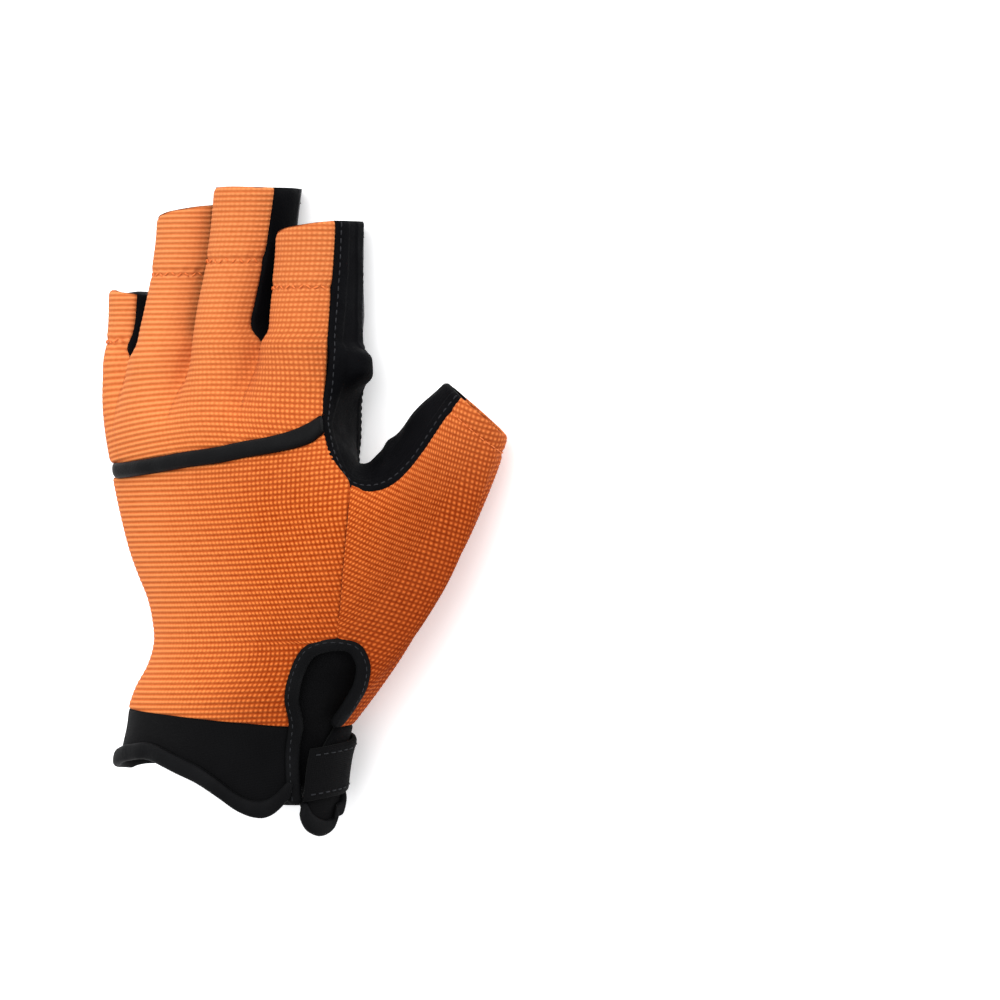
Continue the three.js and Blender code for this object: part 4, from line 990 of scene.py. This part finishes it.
# Thumb: its ribs lie across the thumb, where planes square to its axis cut the panel.
thumb_grid = even(fine(thumb, 6, 26).swapaxes(0, 1), 190).swapaxes(0, 1)
thumb_way = thumb_grid @ np.array([0.39, 0.92, 0.0])
around = lengths_along(thumb_grid)
around = around - around[THUMB_OUTER:THUMB_OUTER + 1]
mouth_hem = lengths_across(thumb_grid)
mouth_hem = mouth_hem[:, -1:] - mouth_hem - THUMB_HEM
panel("thumb_knit", "thumb_panel", thumb_grid, -1, KNIT_WALL, KNIT,
      ribs(thumb_way, THUMB_RIBS) + 0.2 * ripple(thumb_grid, 30, 2) - 0.4 * np.exp(-(mouth_hem / 0.9) ** 2),
      np.stack([around, thumb_way], -1), roll=KNIT_ROLL)
line = line_from_tip(thumb_grid.swapaxes(0, 1), THUMB_HEM)
line_up = unit(normals_of(thumb_grid, -1)[:, -1])
stitches("thumb_hem_stitches", [stitch_row(line[3:-3], line_up[3:-3], 1.9, 1.5, 0.15, -0.16)],
         ORANGE_THREAD)

# Piping
piping_line = fine(back_rings(np.arange(PIPING_LOW, PIPING_TOP + 1)), 1, 8)
path = piping_line[1]
wide = unit(piping_line[2] - piping_line[0])
deep = normals_of(piping_line, 1)[1]
reach = np.linalg.norm(piping_line[2] - piping_line[0], axis=-1, keepdims=True) / 2
from_end = lengths_along(path)[:, None]
swell = smoothstep(from_end, 9, 20) * smoothstep(from_end[-1] - from_end, -0.8, 1.6)
path = path + deep * (0.1 * ripple(path, 12)[:, None] - 1.6 + 1.8 * swell)
tube("piping_roll", path, wide * reach, deep * (0.5 + 0.5 * swell), 1.05, 1.5, PIPING_LEATHER,
     ("knuckle_piping",), 24, 2.2)

# Web and gussets. A fold has a height, a station, a slant about a level across, and a width.
WEB_FOLDS = [(0.9, 8.0, 0.05, 12, 0.55), (-1.0, 9.6, 0, 0, 0.6), (0.8, 17.2, 0.06, 14, 0.6),
             (-0.8, 15.6, 0, 0, 0.7)]
web_grid = fine(web_rows(backs, palms, thumb), 7, 6)
web_grid = even(web_grid.swapaxes(0, 1), 56).swapaxes(0, 1)
web_normal = normals_of(web_grid, -1)
over = lengths_across(web_grid)
other = over[:, -1:] - over
band = 0.35 * (1 - smoothstep(np.minimum(over, other), 4.2, 5.2))
fold_station = np.arange(len(web_grid))[:, None] / 7
folds = sum(height * np.exp(-((fold_station - station - slant * (over - level)) / width) ** 2)
            for height, station, slant, level, width in WEB_FOLDS)
folds = folds * smoothstep(np.minimum(over, other), 3, 9)
web_relief = band + folds + 0.25 * ripple(web_grid, 16, 1)
panel("web_leather", "thumb_web", web_grid, -1, LEATHER_WALL, WEB_LEATHER, web_relief)
web_outer = web_grid + web_normal * web_relief[..., None]
line, up = inset(web_outer, web_normal, 1.6)
far_line, far_up = inset(web_outer[:, ::-1], web_normal[:, ::-1], 1.6)
stitches("web_stitches", [stitch_row(line, up, 2.1, 1.6, 0.2), stitch_row(far_line, far_up, 2.1, 1.6, 0.2)],
         DARK_THREAD)

for number, (name, _, _) in enumerate(GAPS):
    gusset = fine(gusset_rows(number, backs, palms), 6, 7)
    panel(name.replace("gusset", "side_leather"), name, gusset, -1, LEATHER_WALL, WEB_LEATHER,
          0.2 * ripple(gusset, 12, 3))

# Palm
PALM_FOLDS = [
    (1.1, 2.2, [(-6.7, 138), (-6.2, 135), (-12.8, 129), (-16, 124), (-15.5, 121)]),
    (1.2, 2.2, [(11.3, 163), (12.6, 157), (3.6, 149), (2.8, 143)]),
    (1.0, 2.0, [(3.6, 140.5), (7, 129.6), (6, 122)]),
    (1.3, 2.2, [(29.6, 138), (33.8, 134.4), (39.4, 130), (31, 125), (29.6, 119), (33.3, 113)]),
]
palm_strips = fine_strips(palms, 5, 6, GAPS, 0)


def palm_values(grid, seamed=True):
    """Outer point, inner point and weave of every grid corner, with folds and both seams."""
    normal = normals_of(grid, -1)
    seam = grid[..., 1] - read(PALM_SEAM, "x", "y", grid[..., 0])
    seam = seam * 0.8 if seamed else np.full(seam.shape, -20.0)
    to_patch = patch_field(grid)
    relief = 0.15 * ripple(grid, 18, 5)
    for height, width, line in PALM_FOLDS:
        distance = line_distance(grid, np.array(line, float))
        relief = relief + height * np.exp(-(distance / width) ** 2) - 0.5 * height * np.exp(
            -((distance - 2.2 * width) / width) ** 2)
    on_floor = grid[..., 2] < 0.3
    relief = np.where(on_floor, np.minimum(relief, 0) * 0.5, relief)
    groove = 0.8 * np.exp(-(to_patch / 0.7) ** 2)
    fingers_side = roll_down(seam, 0.5, 0.8) - 0.35 * np.exp(-(seam / 6) ** 2)
    groove = groove + np.where(seam > 0, fingers_side, 0.9 * np.exp(-(seam / 1.2) ** 2))
    outer = grid + normal * (relief - groove)[..., None]
    outer[..., 2] = np.maximum(outer[..., 2], 0)
    weave = np.stack([lengths_across(grid), lengths_along(grid)], -1)
    return np.concatenate([outer, grid - normal * LEATHER_WALL, weave], -1), seam, to_patch


def patch_field(grid):
    x, y = grid[..., 0] - PATCH_MIDDLE[0], grid[..., 1] - PATCH_MIDDLE[1]
    angle = np.degrees(np.arctan2(y, x)) % 360
    return read(PATCH_OUTLINE, "angle", "radius", angle) - np.hypot(x, y)


pieces = {"finger_palm": [], "palm_base": [], "thumb_patch": []}
for number, grid in enumerate(palm_strips):
    values, seam, to_patch = palm_values(grid, number < 3)
    values = np.concatenate([values, seam[..., None], to_patch[..., None]], -1).reshape(-1, 10)
    faces = triangles_of(grid)
    if number < 3:
        pieces["finger_palm"].append(keep_positive(values, faces, values[:, 8]))
        values, faces = keep_positive(values, faces, -values[:, 8])
    low_part = values[:, 1] < 130
    if low_part.any():
        inside = np.where(low_part, values[:, 9], -1.0)
        pieces["thumb_patch"].append(keep_positive(values, faces, inside))
        pieces["palm_base"].append(keep_positive(values, faces, -inside))
for name, parts in pieces.items():
    values, faces = gather([part for part in parts if len(part[1])])
    cut_panel(name + "_leather", name, values, faces, -1, LEATHER_WALL, LEATHER)

palm_corners = np.concatenate([palm_values(grid)[0].reshape(-1, 8)[:, :3] for grid in palm_strips])
palm_ups = np.concatenate([normals_of(grid, -1).reshape(-1, 3) for grid in palm_strips])


def on_palm(flat):
    """Points and normals of the palm's outer side below points in plan, from the nearest corners."""
    away = np.linalg.norm(palm_corners[None, :, :2] - flat[:, None], axis=-1) + (palm_ups[:, 2] > -0.3) * 9
    near = np.argsort(away, 1)[:, :4]
    weight = 1 / (np.take_along_axis(away, near, 1) + 1e-3)
    weight = (weight / weight.sum(1, keepdims=True))[..., None]
    height = (palm_corners[near] * weight).sum(1)[:, 2]
    return np.column_stack([flat, height]), unit((palm_ups[near] * weight).sum(1))


palm_rows = []
seam_x = np.linspace(-25, 21, 60)
for beyond in (1.6, 4.0):
    flat = np.column_stack([seam_x, read(PALM_SEAM, "x", "y", seam_x)])
    over_seam = unit(np.gradient(flat, axis=0)) @ np.array([[0, 1], [-1, 0]])
    palm_rows.append(stitch_row(*on_palm(flat + over_seam * beyond), 2.0, 1.5, 0.2))
patch_angle = np.linspace(100, 205, 60)
patch_radius = read(PATCH_OUTLINE, "angle", "radius", patch_angle) + 2.2
patch_way = np.column_stack([np.cos(np.radians(patch_angle)), np.sin(np.radians(patch_angle))])
palm_rows.append(stitch_row(*on_palm(PATCH_MIDDLE + patch_way * patch_radius[:, None]), 2.0, 1.5, 0.18))
for grid in palm_strips:
    line = line_from_tip(grid, TIP_HEM)
    palm_rows.append(stitch_row(line[2:-2], normals_of(grid, -1)[-8, 2:-2], 2.0, 1.5, 0.18))
stitches("palm_stitches", palm_rows, DARK_THREAD)

# Cuff, hem and bindings
columns = cuff_columns()
seam_y, hem_y = columns[1][:, None], columns[4][:, None]
cuff_rows = cuff_point(columns, seam_y + (hem_y + HEM_BAND * 0.6 - seam_y) * np.linspace(0, 1, 6)[None])
cuff_grid = fine(cuff_rows, 5, 7)
panel("cuff_knit", "cuff", cuff_grid, -1, CUFF_WALL, CUFF_CLOTH, 0.35 * ripple(cuff_grid, 26, 7))

HEM_START = np.array([1.5, 3.8, -0.1])
hem_grid = fine(cuff_point(columns, hem_y + HEM_BAND * np.array([1, 0.5, 0])[None]), 6, 1)
hem_path = hem_grid[:, 1].copy()
hem_path[:10] += ((1 - np.arange(10) / 10) ** 2)[:, None] * HEM_START
hem_wide = unit(hem_grid[:, 0] - hem_grid[:, 2])
hem_deep = unit(np.cross(np.gradient(hem_path, axis=0), hem_wide))
hem_path = hem_path + hem_deep * (0.1 * ripple(hem_path, 9)[:, None] - 0.6)
tube("hem_band", hem_path, hem_wide, hem_deep, 2.3, 1.3, BINDING, ("hem_binding",), 20, 2.5)
hem_line = hem_path + hem_wide * 1.25 + hem_deep * 1.1
binding_rows = [stitch_row(hem_line[9:], hem_deep[9:], 2.1, 1.5, 0.15)]

slit_edge = [c[:1] for c in columns]
slit = [cuff_point(slit_edge, np.array([[y]]))[0, 0] for y in SLIT_ROWS]
loop_start = WEB_RING - KEYHOLE_RING
keyhole_edge = np.concatenate([slit, back_rings(np.arange(KEYHOLE_RING))[:, -1],
                               thumb_root()[loop_start:loop_start + 6]])
line_way = KEYHOLE_MIDDLE[0] - KEYHOLE_MIDDLE[1]
share = np.clip(((keyhole_edge - KEYHOLE_MIDDLE[1]) @ line_way) / (line_way @ line_way), 0, 1)[:, None]
inward = unit(KEYHOLE_MIDDLE[1] + line_way * share - keyhole_edge)
over_slit = hand_point(np.array(SLIT_ROWS[:5]), SLIT_ANGLE) - keyhole_edge[:5]
inward[:5] = unit(over_slit * [1, 0, 1])
inward[5:7] = unit(inward[5:7] + inward[4] * [[1.2], [0.4]])
rim = dense(np.stack([keyhole_edge, keyhole_edge + inward * KEYHOLE_BAND], 1), 10)
rim_wide = unit(rim[:, 1] - rim[:, 0])
rim_deep = unit(np.cross(rim_wide, np.gradient(rim[:, 0], axis=0)))
rim_deep = rim_deep * np.sign(rim_deep[:, 2:3])
rim_path = rim.mean(1) - rim_deep * 0.6
tube("keyhole_band", rim_path, rim_wide, rim_deep, 2.0, 1.35, BINDING,
     ("keyhole_binding",), 20, 2.3)
rim_line = rim_path - rim_wide * 0.9 + rim_deep * 1.2
binding_rows.append(stitch_row(rim_line[4:-4], rim_deep[4:-4], 2.1, 1.5, 0.15))
stitches("binding_stitches", binding_rows, DARK_THREAD)

slit_grid = fine(cover_rows(**SLIT_GUSSET), 6, 6)
panel("slit_knit", "slit_gusset", slit_grid, -1, COVER_WALL, CUFF_CLOTH,
      0.5 * ripple(slit_grid, 10, 4))

# Strap
strap_grid = fine(strap_rows(), 6, 8)
strap_normal = normals_of(strap_grid, -1)
strap_relief = 0.18 * ripple(strap_grid, 20, 9)
panel("strap_band", "wrist_strap", strap_grid, -1, STRAP_WALL, STRAP_CLOTH, strap_relief, roll=0.5)
strap_outer = strap_grid + strap_normal * strap_relief[..., None]
rows = []
for flip in (False, True):
    g, n = (strap_outer[:, ::-1], strap_normal[:, ::-1]) if flip else (strap_outer, strap_normal)
    line, up = inset(g, n, 1.7)
    rows.append(stitch_row(line[2:-6], up[2:-6], 2.2, 1.6, 0.2))
line, up = inset(strap_outer[::-1].swapaxes(0, 1), strap_normal[::-1].swapaxes(0, 1), 2.2)
rows.append(stitch_row(line[6:-6], up[6:-6], 2.2, 1.6, 0.2))
stitches("strap_stitches", rows, DARK_THREAD)
loop_grid = fine(cover_rows(**LOOP_PATCH), 6, 6)
panel("loop_pile", "loop_patch", loop_grid, -1, COVER_WALL, LOOP_PILE,
      0.1 * ripple(loop_grid, 1.5, 4), roll=0.3)

# Floor, lights and camera


def glowing_floor_finish():
    f = Finish("pale_floor", 0.8, 0.2)
    # the floor glows a little: painted light that pales the glove's shadow on it
    f.shader.inputs["Emission Color"].default_value = (1, 1, 1, 1)
    f.shader.inputs["Emission Strength"].default_value = 0.4
    return f.finish(f.blend(f.noise(60, 2), (0.9, 0.9, 0.9), (0.92, 0.92, 0.92)))


floor_mesh = bpy.data.meshes.new("floor")
FLOOR_REACH = 3
floor_corners = [(x * FLOOR_REACH, y * FLOOR_REACH, 0) for x, y in ((-1, -1), (1, -1), (1, 1), (-1, 1))]
floor_mesh.from_pydata(floor_corners, [], [(0, 1, 2, 3)])
floor_mesh.materials.append(glowing_floor_finish())
floor = bpy.data.objects.new("floor", floor_mesh)
bpy.context.scene.collection.objects.link(floor)


LIGHT_AIM = np.array([0, 0, 0.02])


def area_light(name, place, size, power):
    lamp = bpy.data.lights.new(name, "AREA")
    lamp.energy, lamp.size = power, size
    lamp_object = bpy.data.objects.new(name, lamp)
    lamp_object.location = place
    way = LIGHT_AIM - np.array(place)
    lamp_object.rotation_euler = Vector(way.tolist()).to_track_quat("-Z", "Y").to_euler()
    bpy.context.scene.collection.objects.link(lamp_object)


area_light("key", (0.5, 0.9, 1.2), 1.8, 20)
area_light("top", (0.1, 0.3, 1.6), 1.8, 10)


def studio_light():
    """Surrounding light that fades smoothly from beyond the pinky to beyond the thumb."""
    world = bpy.data.worlds.new("studio")
    world.use_nodes = True
    tree = world.node_tree
    way = tree.nodes.new("ShaderNodeTexCoord").outputs["Generated"]
    slant = tree.nodes.new("ShaderNodeVectorMath")
    slant.operation = "DOT_PRODUCT"
    slant.inputs[1].default_value = (-0.66, 0.75, 0.0)
    fade = tree.nodes.new("ShaderNodeMapRange")
    tree.links.new(way, slant.inputs[0])
    tree.links.new(slant.outputs["Value"], fade.inputs[0])
    for socket, value in zip(list(fade.inputs)[1:5], (-0.8, 0.8, 0.75, 1.2)):
        socket.default_value = value
    tree.links.new(fade.outputs[0], tree.nodes["Background"].inputs["Strength"])
    tree.nodes["Background"].inputs["Color"].default_value = (0.97, 0.98, 1.0, 1)
    return world


bpy.context.scene.world = studio_light()

CAMERA_TILT = np.radians(36)
LENS, SENSOR = 350, 36
PHOTO_WIDTH, PHOTO_MIDDLE, AIM_HEIGHT = 265.0, (68.9, 88.2), 15
toward = np.array([np.sin(CAMERA_TILT), 0, np.cos(CAMERA_TILT)])
right = np.array([np.cos(CAMERA_TILT), 0, -np.sin(CAMERA_TILT)])
middle = right * PHOTO_MIDDLE[0] + np.array([0, PHOTO_MIDDLE[1], 0]) + toward * AIM_HEIGHT
camera_data = bpy.data.cameras.new("camera")
camera_data.lens = LENS
camera_data.sensor_width = SENSOR
camera = bpy.data.objects.new("camera", camera_data)
bpy.context.scene.collection.objects.link(camera)
distance = PHOTO_WIDTH * LENS / SENSOR
camera.location = ((middle + toward * distance - ORIGIN) / 1000).tolist()
camera.rotation_euler = (0, CAMERA_TILT, 0)
camera_data.clip_start, camera_data.clip_end = 0.1, 30
bpy.context.scene.camera = camera
bpy.context.scene.view_settings.view_transform = "Standard"
